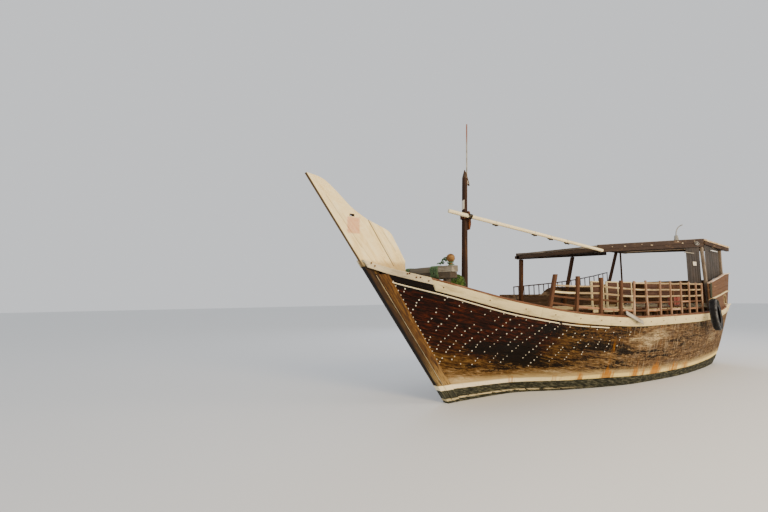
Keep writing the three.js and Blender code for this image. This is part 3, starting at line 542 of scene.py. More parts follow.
def hull_strip(name, fore, aft, section, material, hand=1, cuts=12, ease=0.004, **how):
    """A board along the hull between two stations. section(station) gives y in, y out, z low and z high."""
    def place(run, side, rise):
        station = mix(fore, aft, (run + 1) / 2)
        inner, outer, low, high = section(station)
        return on_station(station, hand * (outer if side > 0 else inner), high if rise > 0 else low)

    how.setdefault("way", along_sheer)
    return keep(sawn(name, place, cuts, ease), material, **how)


print("beam at the sheer", round(2 * deck_edge(-2.3), 2), "m")

# %% [markdown]
# ## Planking
# A dhow is carvel built: planks lie edge to edge, with a seam a few millimetres deep between them. One
# grid makes a side of the hull. Its rows follow the planks, which narrow to bow and stern as real
# strakes do, and three rows at each seam press it in. The UV map counts metres along the boat and
# planks down its side. A second attribute, zones, tells the finish how far a point is above the oiled
# wood's lower edge, above the golden wood's, and above the cream stripe's.

# %% Where the hull's finishes begin, by station
OILED_ABOVE = fair([4.94, 4.6, 4.2, 3.6, 3.1, 2.8, 2.5, 2.2, 0.3, -1.0],
                   [1.3, 1.12, 1.0, 0.85, 0.8, 0.95, 1.3, 1.58, 1.9, 2.6])
GOLD_ABOVE = fair([4.94, 4.4, 3.4, 2.6, 1.6, 0.9, 0.3, -1.0],
                  [0.72, 0.62, 0.52, 0.62, 0.76, 0.9, 1.35, 2.4])
STRIPE_LOW = fair([5.0, 2.6, 1.0, 0.0, -1.0, -2.0, -4.0, -5.17],
                  [0.285, 0.254, 0.238, 0.206, 0.196, 0.2, 0.243, 0.3])
MOULD = (
    # station, height, half-length, half-height, strength; the pale patches are below zero
    (3.35, 1.02, 0.5, 0.24, 1.1), (3.05, 0.76, 0.45, 0.1, 0.9), (4.05, 1.12, 0.32, 0.12, 0.8),
    (2.75, 1.5, 0.3, 0.14, 0.9), (3.6, 0.6, 0.4, 0.05, 0.7), (4.35, 0.72, 0.35, 0.04, 0.6),
    (2.0, 1.0, 0.45, 0.08, 0.6), (1.35, 0.98, 0.35, 0.08, 0.95), (0.72, 0.86, 0.28, 0.08, 1.1),
    (0.9, 0.62, 0.28, 0.05, 0.8), (1.9, 0.76, 0.55, 0.06, 0.6), (2.1, 1.35, 0.5, 0.1, 0.5),
    (1.0, 1.3, 0.6, 0.12, 0.5), (1.2, 0.5, 0.9, 0.05, 0.6), (2.4, 0.62, 0.5, 0.05, 0.8),
    (1.7, 1.12, 0.5, 0.07, 0.8), (0.6, 1.0, 0.5, 0.045, 0.8), (-0.4, 0.66, 0.7, 0.04, 0.6),
    (-1.3, 1.02, 0.7, 0.05, 0.6),
    (0.2, 1.3, 0.4, 0.06, 0.7), (-2.6, 1.05, 0.6, 0.05, 0.5), (-0.9, 1.56, 0.6, 0.06, 0.7),
    (0.9, 1.52, 0.5, 0.05, 0.8), (0.1, 0.8, 0.5, 0.05, 0.55), (-0.6, 0.8, 0.5, 0.06, 0.5),
    (0.3, 1.45, 0.5, 0.04, 0.7), (-0.7, 1.46, 0.3, 0.04, 0.8), (-1.8, 0.88, 0.6, 0.06, 0.45),
    (-1.6, 1.46, 0.6, 0.04, 0.7), (-2.9, 1.36, 0.55, 0.12, 0.7), (-2.0, 1.2, 0.5, 0.12, 0.3),
    (-0.35, 1.16, 0.6, 0.18, -0.9), (0.5, 1.1, 0.25, 0.2, -0.5), (0.0, 0.98, 0.4, 0.05, -0.6),
    (-3.9, 0.9, 0.5, 0.3, -0.4), (4.85, 2.62, 0.2, 0.12, 1.0), (4.6, 2.45, 0.2, 0.12, 1.0),
    (4.4, 2.32, 0.15, 0.1, 0.9), (1.9, 1.5, 0.5, 0.03, 0.8), (-2.6, 0.75, 0.8, 0.04, 0.4),
    (-1.0, 0.62, 0.8, 0.04, 0.4), (2.4, 0.5, 0.7, 0.06, -0.6), (4.5, 0.45, 0.5, 0.08, -0.6),
)
RUST = (
    # station, half-length, strength
    (3.32, 0.06, 0.7), (2.4, 0.07, 0.5), (1.85, 0.09, 0.8), (1.1, 0.18, 1.1), (0.2, 0.16, 1.0),
    (-0.1, 0.07, 0.9), (-0.62, 0.26, 1.1), (-1.5, 0.3, 0.8), (-2.2, 0.2, 0.6), (-3.4, 0.3, 0.3),
)


def patches_at(station, z):
    """Black mould (above zero) and bleached patches (below zero) at a place."""
    return sum(
        strength * math.exp(-((station - x) / long) ** 2 - ((z - high) / tall) ** 2)
        for x, high, long, tall, strength in MOULD
    )


def rust_at(station):
    """How much rust has run down the side at a station."""
    return sum(strength * math.exp(-((station - x) / long) ** 2) for x, long, strength in RUST)


# %% Planked sides
STRAKES = 16
COLUMNS = 150
SEAM_HALF = 0.005
SEAM_DEEP = 0.007
PLANKING_OUT = 0.0045
SKIN = 0.03


def girth_heights(station, shares):
    """Heights at which a station's side has been followed down by each share of its girth, and the girth."""
    side = breadth(station)
    heights = [mix(sheer(station), rabbet(station), k / 80) for k in range(81)]
    run = [0.0]
    for a, b in zip(heights, heights[1:]):
        run.append(run[-1] + math.hypot(b - a, side(b) - side(a)))
    found = []
    for share in shares:
        goal = share * run[-1]
        k = min(max(bisect.bisect_left(run, goal), 1), 80)
        found.append(mix(heights[k - 1], heights[k], (goal - run[k - 1]) / (run[k] - run[k - 1])))
    return found, run[-1]


def strake_rows():
    """Rows of the grid: planks counted down the side, metres off the seam, and depth."""
    rows = [(0, 0, 0)]
    for k in range(STRAKES):
        if k:
            rows += [(k, -SEAM_HALF, 0), (k, 0, SEAM_DEEP), (k, SEAM_HALF, 0)]
        rows += [(k + 0.35, 0, 0), (k + 0.65, 0, 0)]
    rows.append((STRAKES, 0, 0))
    return rows


def grid_piece(name, columns, rows):
    """A flat grid, and the order of its vertices column by column."""
    piece = primitive(name, bpy.ops.mesh.primitive_grid_add, x_subdivisions=columns - 1,
                      y_subdivisions=rows - 1)
    corners = piece.data.vertices
    order = sorted(range(len(corners)), key=lambda i: (round(corners[i].co.x, 5), corners[i].co.y))
    return piece, order


def thicken(piece, thickness, hint):
    """Turns a sheet to face along hint and gives it a wall behind its face."""
    face = piece.data.polygons[len(piece.data.polygons) // 2]
    if face.normal.dot(Vector(hint)) < 0:
        select_only(piece)
        with editing():
            bpy.ops.mesh.flip_normals()
    wall = piece.modifiers.new("wall", "SOLIDIFY")
    wall.thickness = thickness
    wall.offset = -1
    apply_all(piece)


def planked_side(name, hand):
    """One side's planks as a closed skin over the hull and the bulwark."""
    rows = strake_rows()
    piece, order = grid_piece(name, COLUMNS, len(rows))
    mesh = piece.data
    if not mesh.uv_layers:
        mesh.uv_layers.new()
    mesh.uv_layers[0].name = "planks"
    mesh.attributes.new("zones", "FLOAT_VECTOR", "POINT")
    mesh.attributes.new("mould", "FLOAT", "POINT")
    mesh.attributes.new("rust", "FLOAT", "POINT")
    # Fetched only now, because each new attribute moves the others in memory
    uv, zones = mesh.uv_layers["planks"], mesh.attributes["zones"]
    mould, rust = mesh.attributes["mould"], mesh.attributes["rust"]
    counts = {}
    for c in range(COLUMNS):
        # The first column is tucked in behind the stem's rabbet
        run = max(c - 1, 0) / (COLUMNS - 2)
        station = STEM_STATION + 0.015 if c == 0 else mix(STEM_STATION, STERN_STATION, run)
        _, girth = girth_heights(station, [0])
        shares = [min(max(k / STRAKES + offset / girth, 0), 1) for k, offset, _ in rows]
        heights, _ = girth_heights(station, shares)
        for r, ((k, offset, deep), z) in enumerate(zip(rows, heights)):
            vertex = mesh.vertices[order[c * len(rows) + r]]
            point = on_hull(station, z, PLANKING_OUT - deep, hand)
            vertex.co = on_station(station, hand * 0.062, z) if c == 0 else point
            counts[vertex.index] = (station, k + offset / girth * STRAKES)
            zone = (z - OILED_ABOVE(station), z - GOLD_ABOVE(station), z - STRIPE_LOW(station))
            zones.data[vertex.index].vector = zone
            mould.data[vertex.index].value = patches_at(station, z)
            rust.data[vertex.index].value = rust_at(station)
    for loop in mesh.loops:
        uv.data[loop.index].uv = counts[loop.vertex_index]
    mesh.update()
    thicken(piece, SKIN, (0, hand, 0))
    return piece


# %% [markdown]
# ### The finish of the planks
# At the bow and high up the planks are oiled and dark red brown, with golden wood under them. Aft and
# low down the oil has gone and they are bleached tan, with black mould in streaks along the planks. A
# cream stripe runs above the water with rust on it, and below it the bottom paint is black and green.

# %% Carvel planks: oil, sun, salt, stripe and bottom paint
STRIPE_HIGH = 0.1
PLANK_WIDE = 0.21
PLANK_LONG = 3.6


def hull_finish():
    """The planks' material, from the bow's dark oil to the stern's bare tan."""
    material, shader, place = new_material("carvel_teak_planking", "zones")
    above_gold, above_low, above_stripe = add_node(place, "SeparateXYZ", {0: place}, output=None)
    plank_uv = add_node(place, "UVMap", uv_map="planks")
    run, down, _ = add_node(place, "SeparateXYZ", {0: plank_uv}, output=None)
    mould = add_node(place, "Attribute", output="Fac", attribute_name="mould")
    rust = add_node(place, "Attribute", output="Fac", attribute_name="rust")

    strake = maths("FLOOR", down)
    start = add_node(place, "TexWhiteNoise", {"W": strake}, noise_dimensions="1D")
    lengths = run / PLANK_LONG + start * 5.0
    which = add_node(place, "CombineXYZ", {0: strake, 1: maths("FLOOR", lengths)})
    shade = add_node(place, "TexWhiteNoise", {"Vector": which}, noise_dimensions="2D")

    # Metres along the plank, down the side, and a jump from plank to plank
    in_plank = add_node(place, "CombineXYZ", {0: run, 1: down * PLANK_WIDE, 2: shade * 9.0})
    on_side = add_node(place, "CombineXYZ", {0: run, 1: down * PLANK_WIDE})
    grain = noise(in_plank, (0.5, 0.012, 1))
    streak = noise(in_plank, (0.32, 0.035, 1), 6, 0.72, 3.0)
    dash = noise(in_plank, (0.1, 0.026, 1), 5, 0.72, 9.0)
    cloud = noise(on_side, (0.5, 0.18, 1), 6, 0.65, 7.0)
    blot = noise(on_side, (0.16, 0.055, 1), 6, 0.72, 5.0)
    speck = noise(on_side, (0.035, 0.022, 1), 4, 0.75, 1.0)
    drip = noise(on_side, (0.035, 0.5, 1), 4, 0.6, 2.0)

    # Each wood is mottled: half its shade is grain, half is blots
    mottle = grain * 0.25 + blot * 0.75
    oiled = ramp(mottle, (0.38, "#060100"), (0.49, "#1b0701"), (0.57, "#3c1404"), (0.66, "#5f2c0a"))
    ruddy = ramp(mottle, (0.38, "#130803"), (0.5, "#331b09"), (0.62, "#5b3811"))
    golden = ramp(mottle, (0.38, "#201206"), (0.5, "#4c3314"), (0.62, "#76592d"))
    bare = ramp(mottle, (0.38, "#3e2a10"), (0.5, "#715731"), (0.62, "#9f8867"))
    bleached = ramp(mottle, (0.38, "#332416"), (0.5, "#614b32"), (0.62, "#907856"))

    # How far the oil has gone, pushed about by streaks, clouds and the shade of each plank
    unrest = (streak - 0.5) * 1.1
    unrest = unrest + (cloud - 0.5) * 1.0
    unrest = unrest + (shade - 0.5) * 0.2
    has_oil = above_gold + unrest
    has_gold = above_low + unrest
    aft = band(run + unrest * 3.0, 1.6, -0.6)
    colour = lay_over(aft, bare, bleached)
    colour = lay_over(band(has_gold, -0.2, 0.16), colour, golden)
    colour = lay_over(band(has_oil, -0.16, 0.1), colour, ruddy)
    colour = lay_over(band(has_oil, 0.04, 0.3), colour, oiled)

    # Bleached patches, brown and grey stain in bands along the bare planks, and black mould in dashes
    pale = cloud - 0.6 - mould
    colour = lay_over(band(pale, 0.05, 0.5) * band(dash, 0.62, 0.5) * 0.75, colour, "#b9a67f")
    stain = band(streak, 0.45, 0.58) * band(run, 3.0, 1.6) * 0.8
    colour = lay_over(stain, colour, "#3d2a1b")
    grey = band(cloud, 0.52, 0.62) * band(run, 2.6, 0.4) * 0.5
    colour = lay_over(grey, colour, "#5d5145")
    grime = mould * 0.48 + (dash - 0.5) * 1.3
    grime = grime + (streak - 0.5) * 0.9
    grime = grime - band(run, -2.6, -4.2) * 0.16
    colour = lay_over(band(grime, 0.15, 0.21) * 0.95, colour, "#0d0805")
    # Chalk and salt: specks, and drips from the band
    chalk = band(speck, 0.6, 0.72) * band(run, 4.0, 1.0) * 0.5
    colour = lay_over(chalk, colour, "#c9baa0")
    washed = band(drip, 0.54, 0.68) * band(run, 2.0, -0.5) * 0.3
    colour = lay_over(washed, colour, "#c4b496")

    # Dark seams and butts
    down_plank = abs(maths("FRACT", down) - 0.5)
    butt = band(maths("FRACT", lengths), 0.9978, 0.9988)
    seam = maths("MAXIMUM", band(down_plank, 0.468, 0.488), butt)
    colour = lay_over(seam * band(blot, 0.4, 0.55) * 0.6, colour, "#120b06")

    # Cream stripe, worn to yellow aft, with faded paint above it and rust run down over it
    level = above_stripe + (streak * 0.03 - 0.015)
    spread = level + (blot - 0.5) * 0.3
    colour = lay_over(band(spread, 0.24, 0.1) * 0.6, colour, "#c7b07c")
    stripe = band(level, STRIPE_HIGH + 0.012, STRIPE_HIGH - 0.03) * band(speck, 0.72, 0.62)
    stripe_paint = lay_over(band(run, 3.6, 1.4), "#f2e6c4", "#e3cd86")
    colour = lay_over(stripe, colour, stripe_paint)
    run_down = noise(on_side, (0.05, 0.5, 1), 4, 0.6, 5.0)
    rusty = rust + (run_down - 0.5) * 2.2
    rusty = rusty - band(level, 0.06, 0.3) * 0.9
    colour = lay_over(band(rusty, 0.1, 0.9) * 0.85, colour, "#a3640c")
    bottom = band(level, 0.006, -0.006)
    slime = ramp(blot, (0.35, "#14150f"), (0.5, "#2f3129"), (0.68, "#6a6753"))
    colour = lay_over(bottom, colour, slime)
    weed = bottom * band(streak, 0.55, 0.65) * 0.4
    colour = lay_over(weed, colour, "#4b4a28")
    tide = band(level, -0.215, -0.2) * band(level, -0.165, -0.185)
    tide = tide * band(blot, 0.42, 0.5) * band(run, 1.4, 3.2)
    colour = lay_over(tide * 0.9, colour, "#cdbd93")

    sheen = add_node(place, "MapRange", {0: has_oil, 1: -0.1, 2: 0.5, 3: 0.86, 4: 0.5})
    relief = grain * 0.5 + streak * 0.8
    relief = relief + blot * 0.6
    relief = relief - seam * 2.0
    finish_surface(shader, colour, sheen, relief, 0.004, 0.5)
    shader.inputs["Specular IOR Level"].default_value = 0.12
    return material


planking_teak = hull_finish()
for side, hand in SIDES:
    skin = planked_side("planking_" + side, hand)
    keep(skin, planking_teak, slot="oiled_plank", stands_for=["hull_body", "bulwark_" + side], way=None,
         smooth=25)
    print(skin.name, len(skin.data.polygons), "faces")

# %% [markdown]
# ### Nail plugs
# Each plank is nailed to every frame, and the holes are filled with white putty. The plugs stand in rows
# that lean aft at the bow, where the frames are canted to meet the flare. One disc with a soft rim is
# modelled and copied along the rows, all in one mesh a side, because hundreds of objects would be slow.

# %% Rows of plugs
PLUG_ROWS = (
    # station at 1.5 m above the water, lean in station for each metre up, lowest and highest plug
    (5.16, -0.45, 2.2, 2.6), (5.08, -0.62, 1.9, 2.5), (4.83, -0.64, 0.95, 2.35), (4.68, -0.8, 0.8, 2.3),
    (4.45, -0.86, 0.75, 2.25), (4.23, -0.95, 0.7, 2.15), (3.99, -1.0, 0.85, 2.02), (3.74, -1.02, 0.75, 1.95),
    (3.46, -1.02, 0.7, 1.86), (3.18, -0.92, 0.75, 1.8), (2.93, -0.9, 0.7, 1.75), (2.65, -0.72, 0.65, 1.68),
    (2.38, -0.72, 0.6, 1.62), (2.12, -0.65, 0.7, 1.6), (1.88, -0.6, 0.7, 1.56), (1.63, -0.5, 0.8, 1.52),
    (1.38, -0.42, 0.8, 1.5), (1.12, -0.35, 0.85, 1.48), (0.86, -0.28, 0.95, 1.46), (0.6, -0.2, 1.0, 1.45),
)
PLUG_RADIUS = 0.0135
PLUG_STEP = 0.062


def hull_normal(station, z, hand):
    """The hull's outward direction."""
    along = on_hull(station + 0.02, z, 0, hand) - on_hull(station - 0.02, z, 0, hand)
    up = on_hull(station, z + 0.02, 0, hand) - on_hull(station, z - 0.02, 0, hand)
    return (up.cross(along) if hand < 0 else along.cross(up)).normalized() * -1


def disc_mould(name, radius, thick, sides=8):
    """A low disc with a soft rim, standing on its centre."""
    mould = primitive(name, bpy.ops.mesh.primitive_cylinder_add, vertices=sides, radius=radius, depth=thick)
    for vertex in mould.data.vertices:
        vertex.co.z += thick / 2
    with editing("DESELECT"):
        pass
    for face in mould.data.polygons:
        face.select = face.normal.z > 0.9
    with editing(None):
        bpy.ops.mesh.inset(thickness=radius * 0.3, depth=thick * 0.5)
    return mould


def scatter(name, mould, spots):
    """Copies of a mould in one mesh, at (point, normal, size) spots."""
    corners, faces = [], []
    for point, normal, size in spots:
        turn = Vector(normal).to_track_quat("Z", "Y").to_matrix()
        first = len(corners)
        corners += [Vector(point) + turn @ (vertex.co * size) for vertex in mould.data.vertices]
        faces += [[first + v for v in face.vertices] for face in mould.data.polygons]
    mesh = bpy.data.meshes.new(name)
    mesh.from_pydata(corners, [], faces)
    return new_object(name, mesh)


PUTTY = ((0.35, "#a89c82"), (0.5, "#d9d3c0"), (0.65, "#efeadb"))
PITTED_RUST = ((0.3, "#1c120c"), (0.5, "#4a2a18"), (0.68, "#8a4d22"))
putty = mottled("white_putty_plugs", (0.02, 0.02, 0.02), PUTTY, 0.7, 0.001, 3)
rust_iron = mottled("rusted_iron", (0.012, 0.012, 0.012), PITTED_RUST, 0.68, 0.002)
rust_iron.node_tree.nodes["Principled BSDF"].inputs["Metallic"].default_value = 0.35

plug_mould = disc_mould("plug_mould", PLUG_RADIUS, 0.004)
for side, hand in SIDES:
    chance = random.Random("plugs" + side)
    white, rusty = [], []
    for base, lean, low, high in PLUG_ROWS:
        z = low
        while z < high:
            z += PLUG_STEP * chance.uniform(0.75, 1.3)
            station = base + lean * (z - 1.5) + chance.gauss(0, 0.008)
            if station > 4.83 or z > sheer(station) - 0.27:
                continue
            spot = (on_hull(station, z, PLANKING_OUT - 0.001, hand), hull_normal(station, z, hand),
                    chance.uniform(0.75, 1.15))
            if chance.random() < (0.8 if station > 2.4 else 0.45):
                white.append(spot)
            elif station < 2.8:
                rusty.append(spot)
    for k in range(20):
        z = 0.85 + k * 0.088
        white.append((on_hull(4.845, z, PLANKING_OUT, hand), hull_normal(4.845, z, hand), 1.0))
    for k in range(60):
        station = 0.5 - k * 0.09
        for z in (1.38, 1.17, 0.95, 0.72):
            if chance.random() < 0.35:
                rusty.append((on_hull(station, z + chance.gauss(0, 0.01), PLANKING_OUT - 0.001, hand),
                              hull_normal(station, z, hand), chance.uniform(0.6, 1.0)))
    keep(scatter("nail_plugs_" + side, plug_mould, white), putty, slot="cream_paint", way=None)
    keep(scatter("nail_heads_" + side, plug_mould, rusty), rust_iron, slot="iron", way=None)
    print(side, len(white), "plugs and", len(rusty), "bare nail heads")
bpy.data.objects.remove(plug_mould)

# %% [markdown]
# ### Strips along the sheer
# Outside the planks a wide cream band follows the sheer, and a brown cap rail covers the plank edges.
# Forward of the band the cap is cream. Under the band a thin half-round moulding runs to the stem. Each
# is made of boards about 3 m long with a hairline joint, as they really are.

# %% Band, caps and moulding
BAND_JOINTS = (4.49, 3.0, 1.36, -1.05, -3.2, -5.17)
CAP_JOINTS = (4.49, 2.35, 0.1, -2.4, -4.87)
JOINT = 0.0015
sheer_paint = painted("cream_sheer_paint", "#d9c999", "#9c8a61", "#64482d", 0.62, 0.6)
cap_teak = timber("sunned_cap_teak", "#3d2214", "#724d36", "#9c7d68", 0.4)


def band_section(station):
    """The wide band: out of the planking by 6 mm, 28 mm thick."""
    top = sheer(station) - 0.002
    out = breadth(station)(top - BAND_HIGH / 2)
    return out - 0.002, out + 0.034, top - BAND_HIGH, top


def cap_section(station):
    """The cap, 40 mm thick, from 150 mm inside the hull's edge to 40 mm outside it."""
    low = sheer(station) + 0.0003
    return max(deck_edge(station) - 0.15, 0.052), deck_edge(station) + 0.0385, low, low + CAP_THICK


MOULDING_LOW = 0.262


def moulding_section(station):
    """A strip 24 mm high and 22 mm thick just under the band."""
    z = sheer(station) - MOULDING_LOW
    out = breadth(station)(z)
    return out, out + 0.026, z - 0.012, z + 0.013


def slanted(name, fore, aft, section, material, hand, cuts, ease, **how):
    """A hull strip whose inner and outer faces follow the flare of the side."""
    def place(run, side, rise):
        station = mix(fore, aft, (run + 1) / 2)
        inner, outer, low, high = section(station)
        z = high if rise > 0 else low
        flare = breadth(station)(z) - breadth(station)((low + high) / 2)
        return on_station(station, hand * ((outer if side > 0 else inner) + flare), z)

    return keep(sawn(name, place, cuts, ease), material, way=along_sheer, **how)


for side, hand in SIDES:
    for i, (fore, aft) in enumerate(zip(BAND_JOINTS, BAND_JOINTS[1:])):
        slanted("sheer_band_%s_board_%d" % (side, i + 1), fore - JOINT, aft + JOINT, band_section,
                sheer_paint, hand, 16, 0.005, slot="cream_paint", stands_for=["sheer_band_" + side])
    for i, (fore, aft) in enumerate(zip(CAP_JOINTS, CAP_JOINTS[1:])):
        hull_strip("cap_rail_%s_board_%d" % (side, i + 1), fore - JOINT, aft + JOINT, cap_section,
                   cap_teak, hand, 16, 0.006, slot="rail_timber", stands_for=["cap_rail_" + side])
    hull_strip("bow_cap_%s_board" % side, 5.18, 4.49 + JOINT, cap_section, worn_cream_paint, hand, 12,
               0.006, slot="cream_paint", stands_for=["bow_cap_" + side])
    slanted("bow_moulding_" + side, 4.9, 2.62, moulding_section, cream_oil_paint, hand, 40, 0.006,
            slot="cream_paint")
    for i, (fore, aft) in enumerate(((2.55, 1.9), (1.86, 1.35))):
        slanted("worn_moulding_%s_%d" % (side, i + 1), fore, aft, moulding_section, cream_oil_paint, hand,
                8, 0.006, slot="cream_paint")
print("strips on", len(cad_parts), "nodes")

# %% [markdown]
# ### Stem
# The stem is built up: a grey cutwater timber with a near-black front edge, which is painted shade, then an
# orange brown cheek board along each side that covers the plank ends, with a line of white putty between
# them.

# %% Cutwater, cheeks and putty line
CREAM_FROM, CREAM_TO = 0.285, 0.39


def stem_finish(name, dark_share, *woods):
    """Streaky wood of the stem, darkened at its front as painted shade, with the cream stripe and the bottom
    paint carried across it.
    """
    material, shader, place = new_material(name, "grain")
    grain = noise(place, GRAIN)
    mottle = noise(place, (0.3, 0.03, 0.03), 6, 0.7)
    on_boat = add_node(place, "TexCoord", output="Object")
    x, y, z = add_node(place, "SeparateXYZ", {0: on_boat}, output=None)
    unrest = mottle - 0.5
    aft_of_front = z * STEM_RAKE - x
    aft_of_front = aft_of_front + STEM_FOOT
    colour = ramp(mottle, *zip((0.36, 0.5, 0.64), woods))
    colour = lay_over(band(grain, 0.5, 0.65) * 0.5, colour, woods[0])
    # The wood nearest the front is darker, as painted shade, and bleaches towards the water
    shaded = band(aft_of_front + unrest * 0.2, dark_share, 0.0) * 0.7
    colour = lay_over(shaded, colour, "#22130a")
    washed = band(z + unrest, 1.1, 0.3) * band(mottle, 0.42, 0.56) * 0.6
    colour = lay_over(washed, colour, "#b59a62")
    off_middle = abs(y)
    # The forward face itself is painted near black: painted shade where the lamps from port miss it.
    edge = aft_of_front + unrest * 0.05
    front_face_shade = band(edge, 0.03, 0.015) * band(off_middle, 0.05, 0.035)
    colour = lay_over(front_face_shade, colour, "#0d0a08")
    level = z + unrest * 0.03
    colour = lay_over(band(level, CREAM_TO, CREAM_TO - 0.015), colour, "#f0e3bd")
    slime = ramp(mottle, (0.35, "#14150f"), (0.5, "#2a2c22"), (0.68, "#5c5a45"))
    colour = lay_over(band(level, CREAM_FROM, CREAM_FROM - 0.012), colour, slime)
    tide = band(level, 0.04, 0.055) * band(level, 0.105, 0.09) * 0.85
    colour = lay_over(tide, colour, "#bcae84")
    finish_surface(shader, colour, mottle * 0.2 + 0.65, grain, 0.003)
    return material


STEM_WAY = Vector((STEM_RAKE, 0, 1)).normalized()
dressed("stem_timber", stem_finish("tarred_stem_teak", 0.25, "#1b1004", "#402a0b", "#685024"), 0.008,
        STEM_WAY, slot="dark_timber")

cheek_teak = stem_finish("golden_stem_cheek_teak", 0.4, "#2b1908", "#5c3b12", "#7c5a26")
CHEEK_FORE = 5.06
CHEEK_AFT = 4.855
for side, hand in SIDES:
    def cheek(run, across, rise, hand=hand):
        z = mix(0.06, 2.66, (run + 1) / 2)
        station = CHEEK_FORE if rise > 0 else CHEEK_AFT
        y = 0.0755 if station > STEM_STATION else breadth(station)(z) + PLANKING_OUT
        thick = 0.02 if across > 0 else -0.004
        return on_station(station, hand * (y + thick), z)

    keep(sawn("stem_cheek_" + side, cheek, 24, 0.005), cheek_teak, slot="rail_timber", way=STEM_WAY)

    def bead(run, across, rise, hand=hand):
        z = mix(0.4, 2.64, (run + 1) / 2)
        return on_station(CHEEK_FORE + (0.01 if rise > 0 else 0.002),
                          hand * (0.088 if across > 0 else 0.072), z)

    keep(sawn("stem_putty_" + side, bead, 12, 0.003), worn_cream_paint, slot="cream_paint", way=STEM_WAY)
print("stem dressed")

# %% [markdown]
# ## Seams and holes
# A joint between two boards shows as a narrow groove. To press one into a finished board, the mesh is
# bisected three times, a few millimetres apart, and the middle ring of points is pushed in.

# %% Grooves, joins and uprights
def groove(piece, point, normal, half=0.003, deep=0.004):
    """Presses a V groove into a piece where a plane cuts it."""
    point, normal = Vector(point), Vector(normal).normalized()
    select_only(piece)
    with editing(None):
        for offset in (-half, half, 0):
            bpy.ops.mesh.select_all(action="SELECT")
            bpy.ops.mesh.bisect(plane_co=point + normal * offset, plane_no=normal)
    moved = [(vertex, vertex.normal.copy()) for vertex in piece.data.vertices
             if abs((vertex.co - point).dot(normal)) < 1e-5]
    for vertex, outward in moved:
        vertex.co -= outward * deep


def gather(name, pieces):
    """Joins pieces into the first one, which takes the name."""
    bpy.ops.object.select_all(action="DESELECT")
    for piece in pieces:
        piece.select_set(True)
    bpy.context.view_layer.objects.active = pieces[0]
    bpy.ops.object.join()
    pieces[0].name = name
    return pieces[0]


def upright(name, foot, head, size_x, size_y, material, cuts=2, ease=0.006, **how):
    """A post with level ends."""
    foot, head = Vector(foot), Vector(head)

    def place(run, side, rise):
        return foot.lerp(head, (run + 1) / 2) + Vector((side * size_x / 2, rise * size_y / 2, 0))

    how.setdefault("way", head - foot)
    return keep(sawn(name, place, cuts, ease), material, **how)


def boxed(name, x, y, z, material, ease=0.004, way=(1, 0, 0), cuts=0, **how):
    """A board between two values of x, y and z."""
    def place(run, side, rise):
        return Vector((mix(*x, (run + 1) / 2), mix(*y, (side + 1) / 2), mix(*z, (rise + 1) / 2)))

    return keep(sawn(name, place, cuts, ease), material, way=way, **how)


def grooved(node, material, seams, ease=0.005, way=(1, 0, 0), body="boat", slot=None, smooth=35):
    """A copy of a CAD node with eased edges and board seams, standing for it."""
    piece = dressed(node, material, ease, way, body, slot, smooth)
    for point, normal in seams:
        groove(piece, point, normal)
    select_only(piece)
    bpy.ops.object.shade_smooth_by_angle(angle=math.radians(smooth))
    return piece


# %% [markdown]
# ## Stemhead
# The tall board on the stem is four planks on edge, painted cream. The seams run up with the rake, the
# middle one has opened and gone dark, and the front edge is bare wood. The slot near the middle once
# held a rope, and the pink patch beside it has faded to nothing but its colour.

# %% Cream paint of the stemhead, with its seams, edge and patch
def off_line(x, z, start, end):
    """Metres off a line in the fore-and-aft plane, and the share of the way along it."""
    (x0, z0), (x1, z1) = start, end
    length = math.hypot(x1 - x0, z1 - z0)
    way = ((x1 - x0) / length, (z1 - z0) / length)
    from_x = x - x0
    from_z = z - z0
    across = from_x * way[1] - from_z * way[0]
    share = from_x * (way[0] / length) + from_z * (way[1] / length)
    return across, share


HEAD_SEAMS = (
    # ends in x and z, half-width of its dark line, strength
    ((7.162, 3.70), (6.56, 2.83), 0.008, 0.95),
    ((6.812, 3.49), (6.5, 3.12), 0.004, 0.55),
    ((8.06, 4.06), (7.3, 3.155), 0.004, 0.5),
)
SLOT = (7.52, 3.753)
PATCH = ((7.345, 7.63), (3.41, 3.72))
head_paint, shader, place = new_material("cream_stemhead_paint", "grain")
on_boat = add_node(place, "TexCoord", output="Object")
x, y, z = add_node(place, "SeparateXYZ", {0: on_boat}, output=None)
brushed = noise(place, (0.45, 0.018, 0.018), 5, 0.65)
cloud = noise(place, (0.5, 0.13, 0.13), 6, 0.7)
flakes = noise(place, (0.07, 0.018, 0.018), 6, 0.75, 3.0)
streak = noise(place, (0.6, 0.03, 0.03), 4, 0.6, 6.0)
head_colour = ramp(cloud, (0.32, "#dfc488"), (0.48, "#f2dda4"), (0.66, "#f8eac0"))
head_colour = lay_over(band(streak, 0.56, 0.7) * 0.4, head_colour, "#c3a566")
head_colour = lay_over(band(brushed, 0.54, 0.7) * 0.25, head_colour, "#cdb27a")
across_patch = abs(x - sum(PATCH[0]) / 2)
up_patch = abs(z - sum(PATCH[1]) / 2)
worn = (flakes - 0.5) * 0.12
in_patch = band(across_patch + worn, 0.15, 0.125) * band(up_patch + worn, 0.165, 0.14)
faded = in_patch * (band(flakes, 0.4, 0.6) * 0.25 + 0.46)
head_colour = lay_over(faded, head_colour, "#c9795e")
chips = band(flakes, 0.69, 0.71)
head_colour = lay_over(chips, head_colour, "#8d6a3c")
for start, end, half, strength in HEAD_SEAMS:
    across, share = off_line(x, z, start, end)
    line = band(abs(across), half * 1.6, half * 0.5)
    line = line * band(share, -0.02, 0.01) * band(share, 1.02, 0.99) * strength
    head_colour = lay_over(line, head_colour, "#33210f")
    rim = band(across, half * 1.2, half * 3) * band(across, half * 9, half * 4) * (0.35 * strength)
    head_colour = lay_over(rim * band(cloud, 0.4, 0.6), head_colour, "#b18f52")
from_front = z * STEM_RAKE - x + STEM_FOOT
bare_edge = from_front + (flakes - 0.5) * 0.03
off_middle = abs(y)
